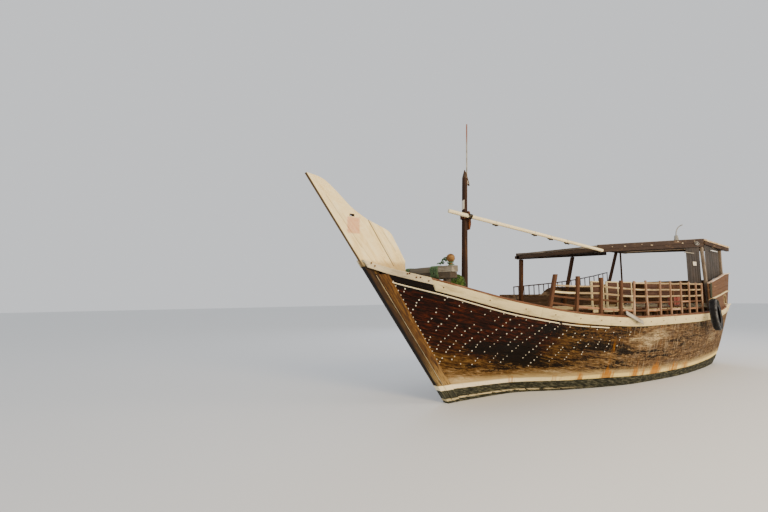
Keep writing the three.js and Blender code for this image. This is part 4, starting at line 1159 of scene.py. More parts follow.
bare = band(bare_edge, 0.028, 0.016) * band(off_middle, 0.045, 0.03)
head_colour = lay_over(bare, head_colour, "#5d4422")
low = z + (flakes - 0.5) * 0.2
head_colour = lay_over(band(low, 2.95, 2.85) * 0.55, head_colour, "#9c7c48")
slot_x = abs(x - SLOT[0])
slot_z = abs(z - SLOT[1])
in_slot = band(slot_x, 0.062, 0.048) * band(slot_z, 0.03, 0.02)
head_colour = lay_over(in_slot, head_colour, "#2b160b")
finish_surface(shader, head_colour, cloud * 0.2 + 0.5, brushed - chips * 0.8, 0.0025)

# %% Planks of the stemhead
stemhead = dressed("stemhead_board", head_paint, 0.007, STEM_WAY, slot="cream_paint")
for start, end, half, _ in HEAD_SEAMS:
    run = Vector((end[0] - start[0], 0, end[1] - start[1])).normalized()
    groove(stemhead, (start[0], 0, start[1]), run.cross(Vector((0, 1, 0))), half, half)
slot_tool = primitive("slot_tool", bpy.ops.mesh.primitive_cube_add, size=1)
for vertex in slot_tool.data.vertices:
    vertex.co = Vector((SLOT[0] + vertex.co.x * 0.085, vertex.co.y * 0.3, SLOT[1] + vertex.co.z * 0.032))
hole = stemhead.modifiers.new("slot", "BOOLEAN")
hole.object = slot_tool
hole.operation = "DIFFERENCE"
apply_all(stemhead)
bpy.data.objects.remove(slot_tool)
select_only(stemhead)
bpy.ops.object.shade_smooth_by_angle(angle=math.radians(30))
print("stemhead", len(stemhead.data.polygons), "faces")

# %% [markdown]
# ### Facing boards and bolts of the bow cap
# At the bow a board stands on edge outside the cap's edge, so the cream cap looks 15 cm high. Its bolts
# have bled rust.

# %% Bow facings and bolts
BOW_LIP = 0.1


def bow_facing_section(station):
    """The board outside the bow cap's edge, down to 100 mm below the sheer."""
    edge, top = deck_edge(station), sheer(station)
    return edge + 0.006, edge + 0.0405, top - BOW_LIP, top + 0.004


BOLT_PLACES = ((5.06, 0.02), (5.02, -0.02), (4.68, 0.0), (4.66, 0.018), (4.62, -0.03), (4.585, -0.01),
               (4.53, -0.045))
bolt_mould = disc_mould("bolt_mould", 0.016, 0.01, 10)
for side, hand in SIDES:
    hull_strip("bow_cap_%s_facing" % side, 5.18, 4.49 + JOINT, bow_facing_section, worn_cream_paint, hand,
               12, 0.005, slot="cream_paint", stands_for=["bow_cap_" + side])
    bolts = [(on_station(s, hand * (deck_edge(s) + 0.0395), sheer(s) + up), (0.35, hand * 0.93, 0), 1.0)
             for s, up in BOLT_PLACES]
    bolts += [(on_hull(s, sheer(s) - 0.1, 0.0335, hand), hull_normal(s, sheer(s) - 0.1, hand), 0.8)
              for s in [mix(4.4, -5.0, k / 17) for k in range(18)]]
    keep(scatter("sheer_bolts_" + side, bolt_mould, bolts), rust_iron, slot="iron", way=None)
bpy.data.objects.remove(bolt_mould)

# %% [markdown]
# ## Decks
# Deck boards run fore and aft. The deck of the model is one sheet, so its boards are pressed in with
# the groove tool, and each board gets its own shade from the material.

# %% Scrubbed deck boards
BOARD_WIDE = 0.14
deck_finish, shader, place = new_material("scrubbed_teak_deck")
x, y, _ = add_node(place, "SeparateXYZ", {0: place}, output=None)
board = y / BOARD_WIDE
shade = add_node(place, "TexWhiteNoise", {"W": maths("FLOOR", board)}, noise_dimensions="1D")
in_board = add_node(place, "CombineXYZ", {0: x, 1: y, 2: shade * 7.0})
grain = noise(in_board, (0.5, 0.012, 1))
cloud = noise(place, (0.5, 0.3, 0.5), 6, 0.65)
deck_colour = ramp(grain, (0.3, "#5f4830"), (0.52, "#94795a"), (0.72, "#7a6045"))
deck_colour = lay_over(shade * 0.35, deck_colour, "#c0a988")
deck_colour = lay_over(band(cloud, 0.5, 0.68) * 0.6, deck_colour, "#4a3624")
seam = band(abs(maths("FRACT", board) - 0.5), 0.47, 0.49)
deck_colour = lay_over(seam, deck_colour, "#17110c")
finish_surface(shader, deck_colour, cloud * 0.2 + 0.72, grain, 0.003)


def board_seams(reach):
    """Planes between deck boards, out to reach metres on each side."""
    count = int(reach / BOARD_WIDE)
    return [((0, k * BOARD_WIDE, 0), (0, 1, 0)) for k in range(-count, count + 1)]


grooved("main_deck", deck_finish, board_seams(1.8), 0, slot="deck_board", smooth=20)
grooved("foredeck", deck_finish, board_seams(1.0), 0, slot="deck_board", smooth=20)
print("decks boarded")

# %% [markdown]
# ## Below the water and the stern
# These parts are closed in the photo. They follow the type: a built keel with a deadwood knee and a stern
# post, a planked transom, a plank rudder with iron straps, and a three-bladed bronze propeller.

# %% Antifouled timber, bronze
bottom_finish, shader, place = new_material("antifouled_keel_timber")
height = add_node(place, "SeparateXYZ", {0: place}, output=2)
slime_noise = noise(place, (0.2, 0.1, 0.1), 6, 0.7)
grain = noise(place, (0.5, 0.02, 0.02))
bottom_colour = ramp(slime_noise, (0.35, "#14150f"), (0.5, "#2f3129"), (0.68, "#5d5a49"))
bare_colour = ramp(grain, (0.3, "#3b2917"), (0.55, "#7c5f3d"), (0.72, "#5a4128"))
level = height + (slime_noise - 0.5) * 0.15
finish_colour = lay_over(band(level, 0.24, 0.27), bottom_colour, bare_colour)
finish_surface(shader, finish_colour, slime_noise * 0.2 + 0.65, grain, 0.004)

cast_bronze, shader, place = new_material("cast_bronze")
cast = noise(place, (0.02, 0.02, 0.02), 5, 0.65)
verdigris = noise(place, (0.08, 0.08, 0.08), 5, 0.7, 3.0)
bronze_colour = ramp(cast, (0.3, "#6f5427"), (0.55, "#a9803f"), (0.75, "#8a672f"))
bronze_colour = lay_over(band(verdigris, 0.52, 0.66) * 0.6, bronze_colour, "#4f7a66")
bronze_dull = add_node(place, "MapRange", {0: verdigris, 3: 0.3, 4: 0.6})
finish_surface(shader, bronze_colour, bronze_dull, cast, 0.001, 0.25)
shader.inputs["Metallic"].default_value = 0.85

grooved("keel_timber", bottom_finish, [((2, 0, 0), (1, 0, 0)), ((-1, 0, 0), (1, 0, 0))], 0.008,
        slot="dark_timber")
dressed("stern_post", bottom_finish, 0.008, slot="dark_timber")
dressed("stern_knee", bottom_finish, 0.006, slot="dark_timber")
dressed("propeller", cast_bronze, 0.002, None, "propeller_shaft", "bronze")
dressed("engine_block", rust_iron, 0.015, None, slot="iron")

# %% Transom planks
transom_wood = stem_finish("bleached_transom_teak", 0.25, "#4d3722", "#775c3e", "#a48c6a")
TRANSOM_SEAMS = [((0, 0, z), (0, 0, 1)) for z in (-0.2, 0.02, 0.24, 0.46, 0.68, 0.9, 1.12, 1.34, 1.56)]
grooved("transom_board", transom_wood, TRANSOM_SEAMS, 0.005, (0, 1, 0), slot="worn_plank")
dressed("transom_cap", cream_oil_paint, 0.006, (0, 1, 0), slot="cream_paint")
grooved("stern_panel", timber("brown_stern_panel_teak", "#3a2414", "#6f4a2e", "#a1805f", 0.4),
        [((0, 0, z), (0, 0, 1)) for z in (2.1, 2.3, 2.5)], 0.005, (0, 1, 0), slot="rail_timber")

# %% Rudder, its straps and its yoke
POST_AFT = -5.2303 - 0.15
HINGE_OFF = 0.045
STERN_RAKE = -0.52


def hinge_at(z):
    """The rudder's axis at a height."""
    return POST_AFT + STERN_RAKE * z - HINGE_OFF


HINGE_WAY = Vector((STERN_RAKE, 0, 1)).normalized()
rudder_normal = Vector((1, 0, -STERN_RAKE)).normalized()
rudder_seams = [((hinge_at(0) - off, 0, 0), rudder_normal) for off in (0.16, 0.33, 0.5)]
grooved("rudder_blade", bottom_finish, rudder_seams, 0.008, HINGE_WAY, "rudder", "worn_plank")
dressed("rudder_yoke", rust_iron, 0.006, None, "rudder", "iron")
STRAP_HEIGHTS = (-0.95, -0.35, 0.35, 1.05)
STRAP_PARTS = (("blade", (-0.005, -0.3), 0.03), ("post", (HINGE_OFF + 0.005, HINGE_OFF + 0.14), 0.07))
for i, z in enumerate(STRAP_HEIGHTS):
    for hand in (1, -1):
        for part, run, y in STRAP_PARTS:
            start, end = [Vector((hinge_at(z) + off, hand * (y + 0.003), z)) for off in run]
            body = "rudder" if part == "blade" else "boat"
            lift = Vector((0, 0, 0.0 if part == "blade" else 0.09))
            beam("rudder_strap_%s_%d_%s" % (part, i + 1, "port" if hand > 0 else "starboard"),
                 start + lift, end + lift, 0.008, 0.07, rust_iron, ease=0.002, body=body, slot="iron",
                 way=None)
print("stern dressed")

# %% [markdown]
# ## Bow gear
# Two heavy timbers lie across the rails to take mooring ropes. The upper one has gone silver. Old rope
# is wound round them, a cork float stands on the port end in a twist of green line, and a net lies
# heaped on the foredeck behind.

# %% Mooring beam of two timbers on chocks
crossbeam = {"slot": "weathered_wood", "stands_for": ["bow_crossbeam"]}
silver_beam = timber("silver_mooring_beam", "#443e35", "#70695d", "#958e80", 0.65, 0.85)
brown_beam = timber("brown_mooring_beam", "#221a15", "#463c32", "#6a6152", 0.45, 0.85)
BEAM_X = 5.79
boxed("bow_crossbeam_lower", (BEAM_X - 0.09, BEAM_X + 0.09), (-0.925, 0.925), (2.575, 2.688), brown_beam,
      0.008, (0, 1, 0), 4, **crossbeam)
boxed("bow_crossbeam_upper", (BEAM_X - 0.085, BEAM_X + 0.085), (-0.96, 0.96), (2.691, 2.814), silver_beam,
      0.01, (0, 1, 0), 4, **crossbeam)
for side, hand in SIDES:
    inner, outer = sorted((hand * (edge_at(BEAM_X) - 0.105), hand * (edge_at(BEAM_X) - 0.005)))
    boxed("bow_crossbeam_chock_" + side, (BEAM_X - 0.06, BEAM_X + 0.06), (inner, outer),
          (sheer_at(BEAM_X) + CAP_THICK, 2.58), brown_beam, 0.006, (0, 1, 0), **crossbeam)
beam_bolts = [((BEAM_X + 0.09, y, 2.632), (1, 0, 0), 1.2) for y in (-0.6, 0.35)]
beam_bolts += [((BEAM_X - 0.01, hand * 0.925, 2.632), (0, hand, 0), 1.3) for hand in (1, -1)]

# %% Rope: a twisted strand finish, and turns round a timber
rope_finish, shader, place = new_material("laid_polypropylene_rope")
along, around, _ = add_node(place, "SeparateXYZ", {0: add_node(place, "UVMap", uv_map="lay")}, output=None)
twist = maths("FRACT", along * 45.0 + around * 3.0)
strand = abs(twist - 0.5)
fuzz = noise(place, (0.01, 0.01, 0.01), 4, 0.7)
rope_colour = ramp(strand, (0.05, "#5f7f5a"), (0.3, "#3f5b3c"), (0.48, "#18240f"))
rope_colour = lay_over(band(fuzz, 0.5, 0.68) * 0.45, rope_colour, "#9aa890")
finish_surface(shader, rope_colour, fuzz * 0.2 + 0.7, strand, 0.004, 0.6)


def tube(name, path, radius, material, sides=8, closed=False, smooth=60, **how):
    """A round tube along a path, with a UV map that counts metres along it and turns round it."""
    points = [Vector(p) for p in path]
    count = len(points)
    corners, faces, counts = [], [], []
    frame_up = None
    run = 0.0
    for i, point in enumerate(points):
        ahead_point = points[(i + 1) % count] if closed or i < count - 1 else point
        back_point = points[i - 1] if closed or i else point
        along = (ahead_point - back_point).normalized()
        if frame_up is None:
            frame_up = along.orthogonal().normalized()
        frame_up = (frame_up - along * frame_up.dot(along)).normalized()
        side = along.cross(frame_up)
        run += (point - points[i - 1]).length if i else 0
        for k in range(sides):
            turn = 2 * math.pi * k / sides
            corners.append(point + (frame_up * math.cos(turn) + side * math.sin(turn)) * radius)
            counts.append((run, k / sides))
    for i in range(count if closed else count - 1):
        for k in range(sides):
            a, b = i * sides + k, i * sides + (k + 1) % sides
            c, d = ((i + 1) % count) * sides + (k + 1) % sides, ((i + 1) % count) * sides + k
            faces.append((a, b, c, d))
    if not closed:
        faces.append(tuple(reversed(range(sides))))
        faces.append(tuple((count - 1) * sides + k for k in range(sides)))
    mesh = bpy.data.meshes.new(name)
    mesh.from_pydata(corners, [], faces)
    layer = mesh.uv_layers.new(name="lay")
    for face in mesh.polygons:
        us = [counts[mesh.loops[i].vertex_index] for i in face.loop_indices]
        wraps = len(us) == 4 and max(v for _, v in us) - min(v for _, v in us) > 0.5
        for i, (u, v) in zip(face.loop_indices, us):
            layer.data[i].uv = (u, v + 1 if wraps and v < 0.5 else v)
    piece = new_object(name, mesh)
    how.setdefault("way", None)
    return keep(piece, material, smooth=smooth, **how)


def turns_round(name, centre, half_a, half_b, across, pitch, turns, radius, material, seed, **how):
    """Rope wound round a square timber: centre, half sizes on x and z, and the way the turns march."""
    chance = random.Random(seed)
    path = []
    steps = 28
    for i in range(int(turns * steps)):
        turn = 2 * math.pi * i / steps
        c, s = math.cos(turn), math.sin(turn)
        # A rounded square, so that the rope lies on the faces
        reach = 1 / (abs(c) ** 6 + abs(s) ** 6) ** (1 / 6)
        wobble = 0.004 * math.sin(turn * 0.37 + chance.random() * 0.4)
        place = Vector((c * half_a * reach, 0, s * half_b * reach))
        march = Vector(across) * (pitch * i / steps + wobble)
        path.append(Vector(centre) + place + march)
    return tube(name, path, radius, material, 7, **how)


ROPE = 0.011
for i, (y, turns) in enumerate(((0.36, 4), (0.47, 5), (-0.42, 5))):
    turns_round("mooring_turns_%d" % (i + 1), (BEAM_X, y, 2.694), 0.09 + ROPE, 0.119 + ROPE * 0.5,
                (0, 1, 0), 0.024, turns, ROPE, rope_finish, "turns%d" % i, slot="net")

# %% Cork float in its twist of line
cork, shader, place = new_material("weathered_cork_float")
crumb = noise(place, (0.012, 0.012, 0.012), 5, 0.7)
cloud = noise(place, (0.07, 0.07, 0.07), 5, 0.65)
cork_colour = ramp(cloud, (0.34, "#422d14"), (0.5, "#70502a"), (0.66, "#917043"))
cork_colour = lay_over(band(crumb, 0.54, 0.66) * 0.6, cork_colour, "#5e4526")
finish_surface(shader, cork_colour, crumb * 0.2 + 0.68, crumb, 0.003, 0.6)

FLOAT_AT = Vector((BEAM_X, 0.85, 2.96))
cork_float = primitive("bow_float_cork", bpy.ops.mesh.primitive_ico_sphere_add, subdivisions=5, radius=1)
for vertex in cork_float.data.vertices:
    p = vertex.co.copy()
    dent = 1 + 0.035 * math.sin(3.1 * p.x + 2 * p.z) * math.cos(2.7 * p.y) - 0.09 * math.exp(
        -((p.z - 0.1) / 0.12) ** 2,
    )
    vertex.co = FLOAT_AT + Vector((p.x * 0.084, p.y * 0.084, p.z * 0.083)) * min(dent, 1.0)
keep(cork_float, cork, slot="float_plastic", stands_for=["bow_float"], way=None, smooth=60)
neck_path = [FLOAT_AT + Vector((coil * math.cos(t * 0.9), coil * math.sin(t * 0.9), -0.14 + 0.0065 * t))
             for t, coil in [(k * 0.35, 0.064 - 0.0004 * k) for k in range(60)]]
tube("bow_float_line", neck_path, 0.011, rope_finish, 7, slot="net", stands_for=["bow_float"])
boxed("bow_float_neck", (BEAM_X - 0.028, BEAM_X + 0.028), (0.822, 0.878), (2.815, 2.9), cork, 0.008,
      (0, 0, 1), 1, slot="float_plastic", stands_for=["bow_float"])
snarl = []
chance = random.Random("snarl")
for k in range(150):
    t = k / 149
    centre = Vector((BEAM_X + 0.02, mix(0.83, 0.52, t), 2.83 + 0.085 * math.sin(math.pi * min(t * 1.6, 1))))
    spin = k * 0.62
    wide = 0.055 * (1 - 0.4 * t)
    rise = 0.02 + abs(math.sin(spin)) * wide
    snarl.append(centre + Vector((math.cos(spin) * wide, 0.02 * math.sin(spin * 0.7), rise)))
tube("bow_line_snarl", snarl, 0.008, rope_finish, 6, slot="net")

# %% Heap of green net
NET_GREEN = ((0.32, "#16220a"), (0.5, "#4b7020"), (0.66, "#86aa3c"))
net_finish = mottled("knotted_nylon_net", (0.05, 0.05, 0.05), NET_GREEN, 0.7, 0.006, strength=0.7)
net_low, net_high = [Vector(corner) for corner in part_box("net_bundle")]
net_mid, net_half = (net_low + net_high) / 2, (net_high - net_low) / 2


def net_heap(name, subdivisions, grow, seed):
    """A lumpy closed heap inside the bundle's box."""
    heap = primitive(name, bpy.ops.mesh.primitive_ico_sphere_add, subdivisions=subdivisions, radius=1)
    chance = random.Random(seed)
    lumps = [(Vector([chance.gauss(0, 1) for _ in range(3)]).normalized(), chance.uniform(0.2, 0.45),
              chance.uniform(-0.2, 0.06)) for _ in range(46)]
    for vertex in heap.data.vertices:
        p = vertex.co.normalized()
        size = 0.93
        for way, reach, high in lumps:
            size += high * math.exp(-((p - way).length / reach) ** 2)
        size = min(size, 1.0) * grow
        z = max(p.z * size, -0.9)
        vertex.co = net_mid + Vector((p.x * size * net_half.x, p.y * size * net_half.y, z * net_half.z))
    return heap


heap = net_heap("net_bundle_heap", 5, 0.97, "net")
keep(heap, net_finish, slot="net", stands_for=["net_bundle"], way=None, smooth=60)
mesh_net = net_heap("net_bundle_strands", 4, 0.985, "net")
strands = mesh_net.modifiers.new("strands", "WIREFRAME")
strands.thickness = 0.006
strands.use_replace = True
apply_all(mesh_net)
keep(mesh_net, rope_finish, slot="net", stands_for=["net_bundle"], way=None, smooth=60)
if not mesh_net.data.uv_layers:
    mesh_net.data.uv_layers.new(name="lay")
print("bow gear", len(heap.data.polygons) + len(mesh_net.data.polygons), "faces in the net")

# %% [markdown]
# ## Mast and boom
# The mast is a squared trunk of dark wood with its corners taken off, with a strip of rag tied round it.
# The boom is a peeled pole, painted cream, held to the mast in a collar that lets it turn, and short dark
# rags hang from it.

# %% Mast with its point, rag and spike
mast_teak = timber("sunned_mast_teak", "#160b05", "#331e11", "#523821", 0.28)


def mast_x(z):
    """The mast's centre at a height."""
    return mix(4.57, 4.44, (z - 1.8) / 3.32)


def mast_half(z):
    """Half the mast's width at a height."""
    return mix(0.057, 0.044, (z - 1.8) / 3.13)


mast_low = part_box("mast")[0][2]


def mast_place(run, side, rise):
    share = (run + 1) / 2
    z = mix(mast_low, 4.93, share)
    half = mast_half(z) * (1 - 0.02 * math.sin(share * 37) ** 2)
    return Vector((mast_x(z) + side * half, rise * half, z))


keep(sawn("mast_trunk", mast_place, 14, 0.009), mast_teak, slot="dark_timber", stands_for=["mast"],
     way=(0, 0, 1))


def point_place(run, side, rise):
    z = mix(4.928, 5.118, (run + 1) / 2)
    half = mix(mast_half(4.93), 0.009, (run + 1) / 2)
    return Vector((mast_x(z) + side * half, rise * half, z))


keep(sawn("mast_point", point_place, 3, 0.006), brown_teak, slot="dark_timber", stands_for=["mast"],
     way=(0, 0, 1))
upright("mast_head_cleat", (4.352, 0.038, 4.75), (4.425, 0.006, 5.07), 0.03, 0.04, brown_teak,
        slot="dark_timber")
COTTON = ((0.3, "#8d877b"), (0.5, "#cdc7b8"), (0.7, "#e9e4d8"))
rag_cloth = mottled("bleached_cotton_rag", (0.004, 0.004, 0.03), COTTON, 0.82, 0.002, 3, 0.5, 0.1)


def rag_place(run, side, rise):
    z = mix(4.19, 4.4, (run + 1) / 2) + 0.01 * rise
    out = mast_half(z) + (0.009 + 0.003 * math.sin(run * 11) if side > 0 else -0.002)
    return Vector((mast_x(z) + out, 0.004 + rise * 0.034, z))


rag = sawn("mast_rag", rag_place, 7, 0.01)
keep(rag, rag_cloth, slot="curtain_cloth", way=None, smooth=60)

# %% Pole at the masthead
pole_iron, shader, place = new_material("painted_iron_pole")
height = add_node(place, "SeparateXYZ", {0: place}, output=2)
scab = noise(place, (0.02, 0.02, 0.1), 5, 0.7)
pole_colour = ramp(scab, (0.36, "#6e665a"), (0.52, "#a39c8d"), (0.68, "#c9c3b5"))
rusty_share = band(height + scab * 0.8, 6.1, 6.35)
pole_colour = lay_over(rusty_share * 0.8, pole_colour, "#8c4a2c")
finish_surface(shader, pole_colour, scab * 0.3 + 0.4, scab, 0.001)
shader.inputs["Metallic"].default_value = 0.3
dressed("mast_pole", pole_iron, 0.003, None, slot="iron", smooth=60)

# %% Boom, its rags and its collar
peeled_paint = painted("peeled_boom_paint", "#ecdfb6", "#c2ad7f", "#8a6a42", 0.5, 0.45)
CROSSING = Vector((mast_x(4.01), 0.156, 4.01))
BOOM_END = Vector((1.045, 1.315, 3.31))
boom_way = (BOOM_END - CROSSING).normalized()
boom_long = (BOOM_END - CROSSING).length
BOOM_AHEAD = 0.53
spar = primitive("boom_spar_pole", bpy.ops.mesh.primitive_cylinder_add, vertices=20, radius=1, depth=2,
                 end_fill_type="NGON")
cut_across(spar.data, 2, 23)
spar_side = boom_way.cross(Vector((0, 0, 1))).normalized()
spar_up = spar_side.cross(boom_way)
for vertex in spar.data.vertices:
    share = (vertex.co.z + 1) / 2
    d = mix(-BOOM_AHEAD, boom_long, share)
    radius = mix(0.0445, 0.0365, share)
    knot = 1 + 0.03 * math.sin(d * 9) * math.sin(3 * math.atan2(vertex.co.y, vertex.co.x) + d * 5)
    out = spar_side * vertex.co.x + spar_up * vertex.co.y
    vertex.co = CROSSING + boom_way * d + out * radius * min(knot, 1)
ease_edges(spar, 0.006, 2, 60)
keep(spar, peeled_paint, "boom_spar", "cream_paint", ["boom"], boom_way, 50)

TAR = ((0.35, "#0e0b09"), (0.55, "#2c241d"), (0.7, "#4f4538"))
tarred_rag = mottled("tarred_rag", (0.02, 0.02, 0.05), TAR, 0.7, 0.004, strength=0.7)
for i, share in enumerate((0.18, 0.464, 0.585, 0.713)):
    place_at = CROSSING + boom_way * boom_long * share

    def bundle(run, side, rise, place_at=place_at, i=i):
        fat = 0.019 * (1 - 0.45 * run * run) * (1 + 0.15 * math.sin(9 * run + i))
        hung = place_at + boom_way * (0.078 * run) - spar_up * (0.052 + 0.006 * math.sin(5 * run + i))
        return hung + spar_side * side * fat + spar_up * rise * fat

    rag = sawn("boom_rag_%d" % (i + 1), bundle, 7, 0.007)
    keep(rag, tarred_rag, "boom_spar", "dark_timber", ["boom"], None, 60)
    around = [place_at + (spar_side * c + spar_up * s) * 0.045 for c, s in circle(20)]
    tube("boom_rag_tie_%d" % (i + 1), around, 0.0035, rag_cloth, 6, True, body="boom_spar",
         slot="dark_timber")

dressed("boom_collar", rust_iron, 0.004, None, "boom_swivel", "iron", 40)
chock_teak = timber("brown_collar_chock", "#2a150a", "#673c1d", "#8f6239", 0.3)
chock_fore = CROSSING.x - 0.089


def chock_place(run, side, rise):
    z = mix(3.728, 4.162, (run + 1) / 2)
    taper = min(max((z - 3.728) / 0.13, 0.35), 1) * min(max((4.162 - z) / 0.1, 0.4), 1)
    return Vector((chock_fore - (0.0765 * taper if side < 0 else -0.0005), rise * 0.0425, z))


keep(sawn("boom_collar_chock", chock_place, 13, 0.006), chock_teak, "boom_swivel", "dark_timber",
     ["boom_collar"], (0, 0, 1))
boom_lash = []
for k, (c, s) in enumerate(circle(20, 90)):
    d = -0.05 + 0.0235 * k / 20
    boom_lash.append(CROSSING + boom_way * d + (spar_side * c + spar_up * s) * 0.052)
tube("boom_lashing", boom_lash, 0.009, tarred_rag, 6, body="boom_spar", slot="dark_timber")
print("boom", round(boom_long + BOOM_AHEAD, 2), "m long")

# %% [markdown]
# ## Canopy
# The canopy is carpenter's work in rough boards: boards laid across beams, an edge board along each side,
# and a lighter roof aft that was added later. The board ends never line up, and flakes of old pale paint
# are left on the edge boards.

# %% Roof lines of the canopy, as in the model
CANOPY_FORE, CANOPY_BREAK, CANOPY_AFT = 1.1, -4.55, -6.4
ROOF_THICK = 0.05


def share_of(x, start, end):
    """The share of the way from start to end."""
    return (x - start) / (end - start)


def roof_half(x):
    """Half-width of the roof."""
    return mix(1.22, 1.6, share_of(x, CANOPY_FORE, CANOPY_BREAK))


def roof_top(x):
    """Height of the roof."""
    return mix(3.45, 3.95, share_of(x, CANOPY_FORE, CANOPY_BREAK))


def beam_deep(x):
    """Depth of the side beams."""
    return mix(0.125, 0.2, share_of(x, CANOPY_FORE, CANOPY_BREAK))


def aft_half(x):
    """Half-width of the after roof."""
    return mix(1.66, 1.73, share_of(x, CANOPY_BREAK, CANOPY_AFT))


def aft_top(x, y):
    """The twisted, crowned after roof's top."""
    share = share_of(x, CANOPY_BREAK, CANOPY_AFT)
    across = y / aft_half(x)
    edge = mix(mix(3.94, 3.95, share), mix(3.94, 3.8, share), (across + 1) / 2)
    return edge + 0.012 * (1 - across * across)


def roof_under(x):
    """Underside of the roof boards."""
    return roof_top(x) - ROOF_THICK - 0.0003


# %% Roof boards
edge_teak = timber("flaked_edge_board_teak", "#150d09", "#3a2a20", "#66523f", 0.35)
roof_teak = timber("grey_roof_board_teak", "#312921", "#64594c", "#8c8175", 0.6)
chance = random.Random("roof boards")


def lay_roof(node, board, count, span, half, top, ragged, uneven, cuts, material):
    """A roof of boards laid across, between two x. Their ends are ragged and their tops uneven."""
    boards = []
    for i in range(count):
        fore, aft = mix(*span, i / count) - 0.002, mix(*span, (i + 1) / count) + 0.002
        ends = [chance.uniform(0.0, ragged) for _ in range(2)]
        sink = chance.uniform(0, uneven)

        def place(run, side, rise, fore=fore, aft=aft, ends=ends, sink=sink):
            x = fore if side > 0 else aft
            y = run * (half(x) - ends[0 if run > 0 else 1])
            return Vector((x, y, top(x, y) - sink - (0 if rise > 0 else ROOF_THICK)))

        boards.append(keep(sawn(board, place, cuts, 0.004), material, way=(0, 1, 0)))
    laid = gather(node + "_boards", boards)
    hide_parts(node)
    return laid


roof = lay_roof("canopy_roof", "canopy_roof_board", 40, (CANOPY_FORE, CANOPY_BREAK), roof_half,
                lambda x, y: roof_top(x), 0.035, 0.006, 4, roof_teak)
aft_roof = lay_roof("canopy_aft_roof", "canopy_aft_board", 13, (CANOPY_BREAK - 0.001, CANOPY_AFT), aft_half,
                    aft_top, 0.012, 0.004, 6, pale_teak)
print("roof boards", len(roof.data.polygons) + len(aft_roof.data.polygons), "faces")

# %% [markdown]
# ### Frame under the roof
# Two long side beams carry five cross beams. Outside each side beam an edge board is nailed on, in
# lengths, with a pale lip where the roof boards end.

# %% Side beams, edge boards and cross beams
EDGE_JOINTS = (1.095, -0.62, -2.45, -4.54)


def canopy_strip(name, hand, span, off, foot, head, cuts, ease, material, slot="dark_timber"):
    """A strip along the canopy's side between two x. off gives its faces' distance outside the roof,
    foot and head its heights as functions of x."""
    def place(run, across, rise):
        x = mix(*span, (run + 1) / 2)
        y = hand * (roof_half(x) + off[across > 0])
        return Vector((x, y, head(x) if rise > 0 else foot(x)))

    return keep(sawn(name, place, cuts, ease), material, slot=slot, stands_for=["canopy_frame"])


def above_roof(lift):
    """A line lift metres above the roof's top."""
    return lambda x: roof_top(x) + lift


for side, hand in SIDES:
    canopy_strip("canopy_side_beam_" + side, hand, (CANOPY_FORE - 0.005, CANOPY_BREAK + 0.01),
                 (-0.095, 0.005), lambda x: roof_under(x) - beam_deep(x), roof_under, 6, 0.007, edge_teak)
    for i, (fore, aft) in enumerate(zip(EDGE_JOINTS, EDGE_JOINTS[1:])):
        canopy_strip("canopy_edge_board_%s_%d" % (side, i + 1), hand, (fore - 0.003, aft + 0.003),
                     (0.006, 0.024), above_roof(-0.115), above_roof(0.008), 6, 0.004, edge_teak)
    canopy_strip("canopy_edge_lip_" + side, hand, (CANOPY_FORE - 0.01, CANOPY_BREAK + 0.02), (-0.02, 0.0245),
                 above_roof(0.0015), above_roof(0.0125), 10, 0.003, roof_teak, "weathered_wood")
for i, x in enumerate((-0.02, -1.15, -2.28, -3.41, -4.49)):
    reach = roof_half(x) - 0.05
    boxed("canopy_cross_beam_%d" % (i + 1), (x - 0.035, x + 0.035), (-reach, reach),
          (roof_under(x) - 0.095, roof_under(x) - 0.004), brown_teak, 0.006, (0, 1, 0), 3,
          slot="dark_timber", stands_for=["canopy_frame"])
front_half = roof_half(CANOPY_FORE)
boxed("canopy_front_beam", (CANOPY_FORE - 0.095, CANOPY_FORE - 0.005),
      (-front_half - 0.07, front_half + 0.02),
      (roof_under(CANOPY_FORE) - 0.1, roof_under(CANOPY_FORE) - 0.014), edge_teak, 0.006, (0, 1, 0), 3,
      slot="dark_timber", stands_for=["canopy_frame"])

# %% Flakes of old pale paint on the edge boards
CHIPS = (
    # x, length, height, metres under the roof's top
    (-0.08, 0.1, 0.018, 0.07), (-0.9, 0.06, 0.012, 0.05), (-1.42, 0.2, 0.02, 0.09), (-2.88, 0.1, 0.022, 0.03),
    (-3.16, 0.13, 0.025, 0.09), (0.5, 0.05, 0.012, 0.06), (-3.9, 0.08, 0.014, 0.05),
)
flake_paint = painted("flaking_pale_paint", "#bcab8c", "#93836a", "#5a4637", 0.9, 0.4)
flakes = []
chance = random.Random("flakes")
for x, long, high, down in CHIPS:
    y = roof_half(x) + 0.0243

    def flake(run, across, rise, x=x, y=y, long=long, high=high, down=down):
        ragged = 1 + 0.5 * math.sin(9 * run + 20 * x)
        return Vector((x + run * long / 2, y + 0.0012 * (across + 1),
                       roof_top(x) - down + rise * high / 2 * ragged * (1 - 0.6 * run * run)))

    flakes.append(keep(sawn("canopy_flake", flake, 7, 0), flake_paint))
gather("canopy_paint_flakes", flakes)

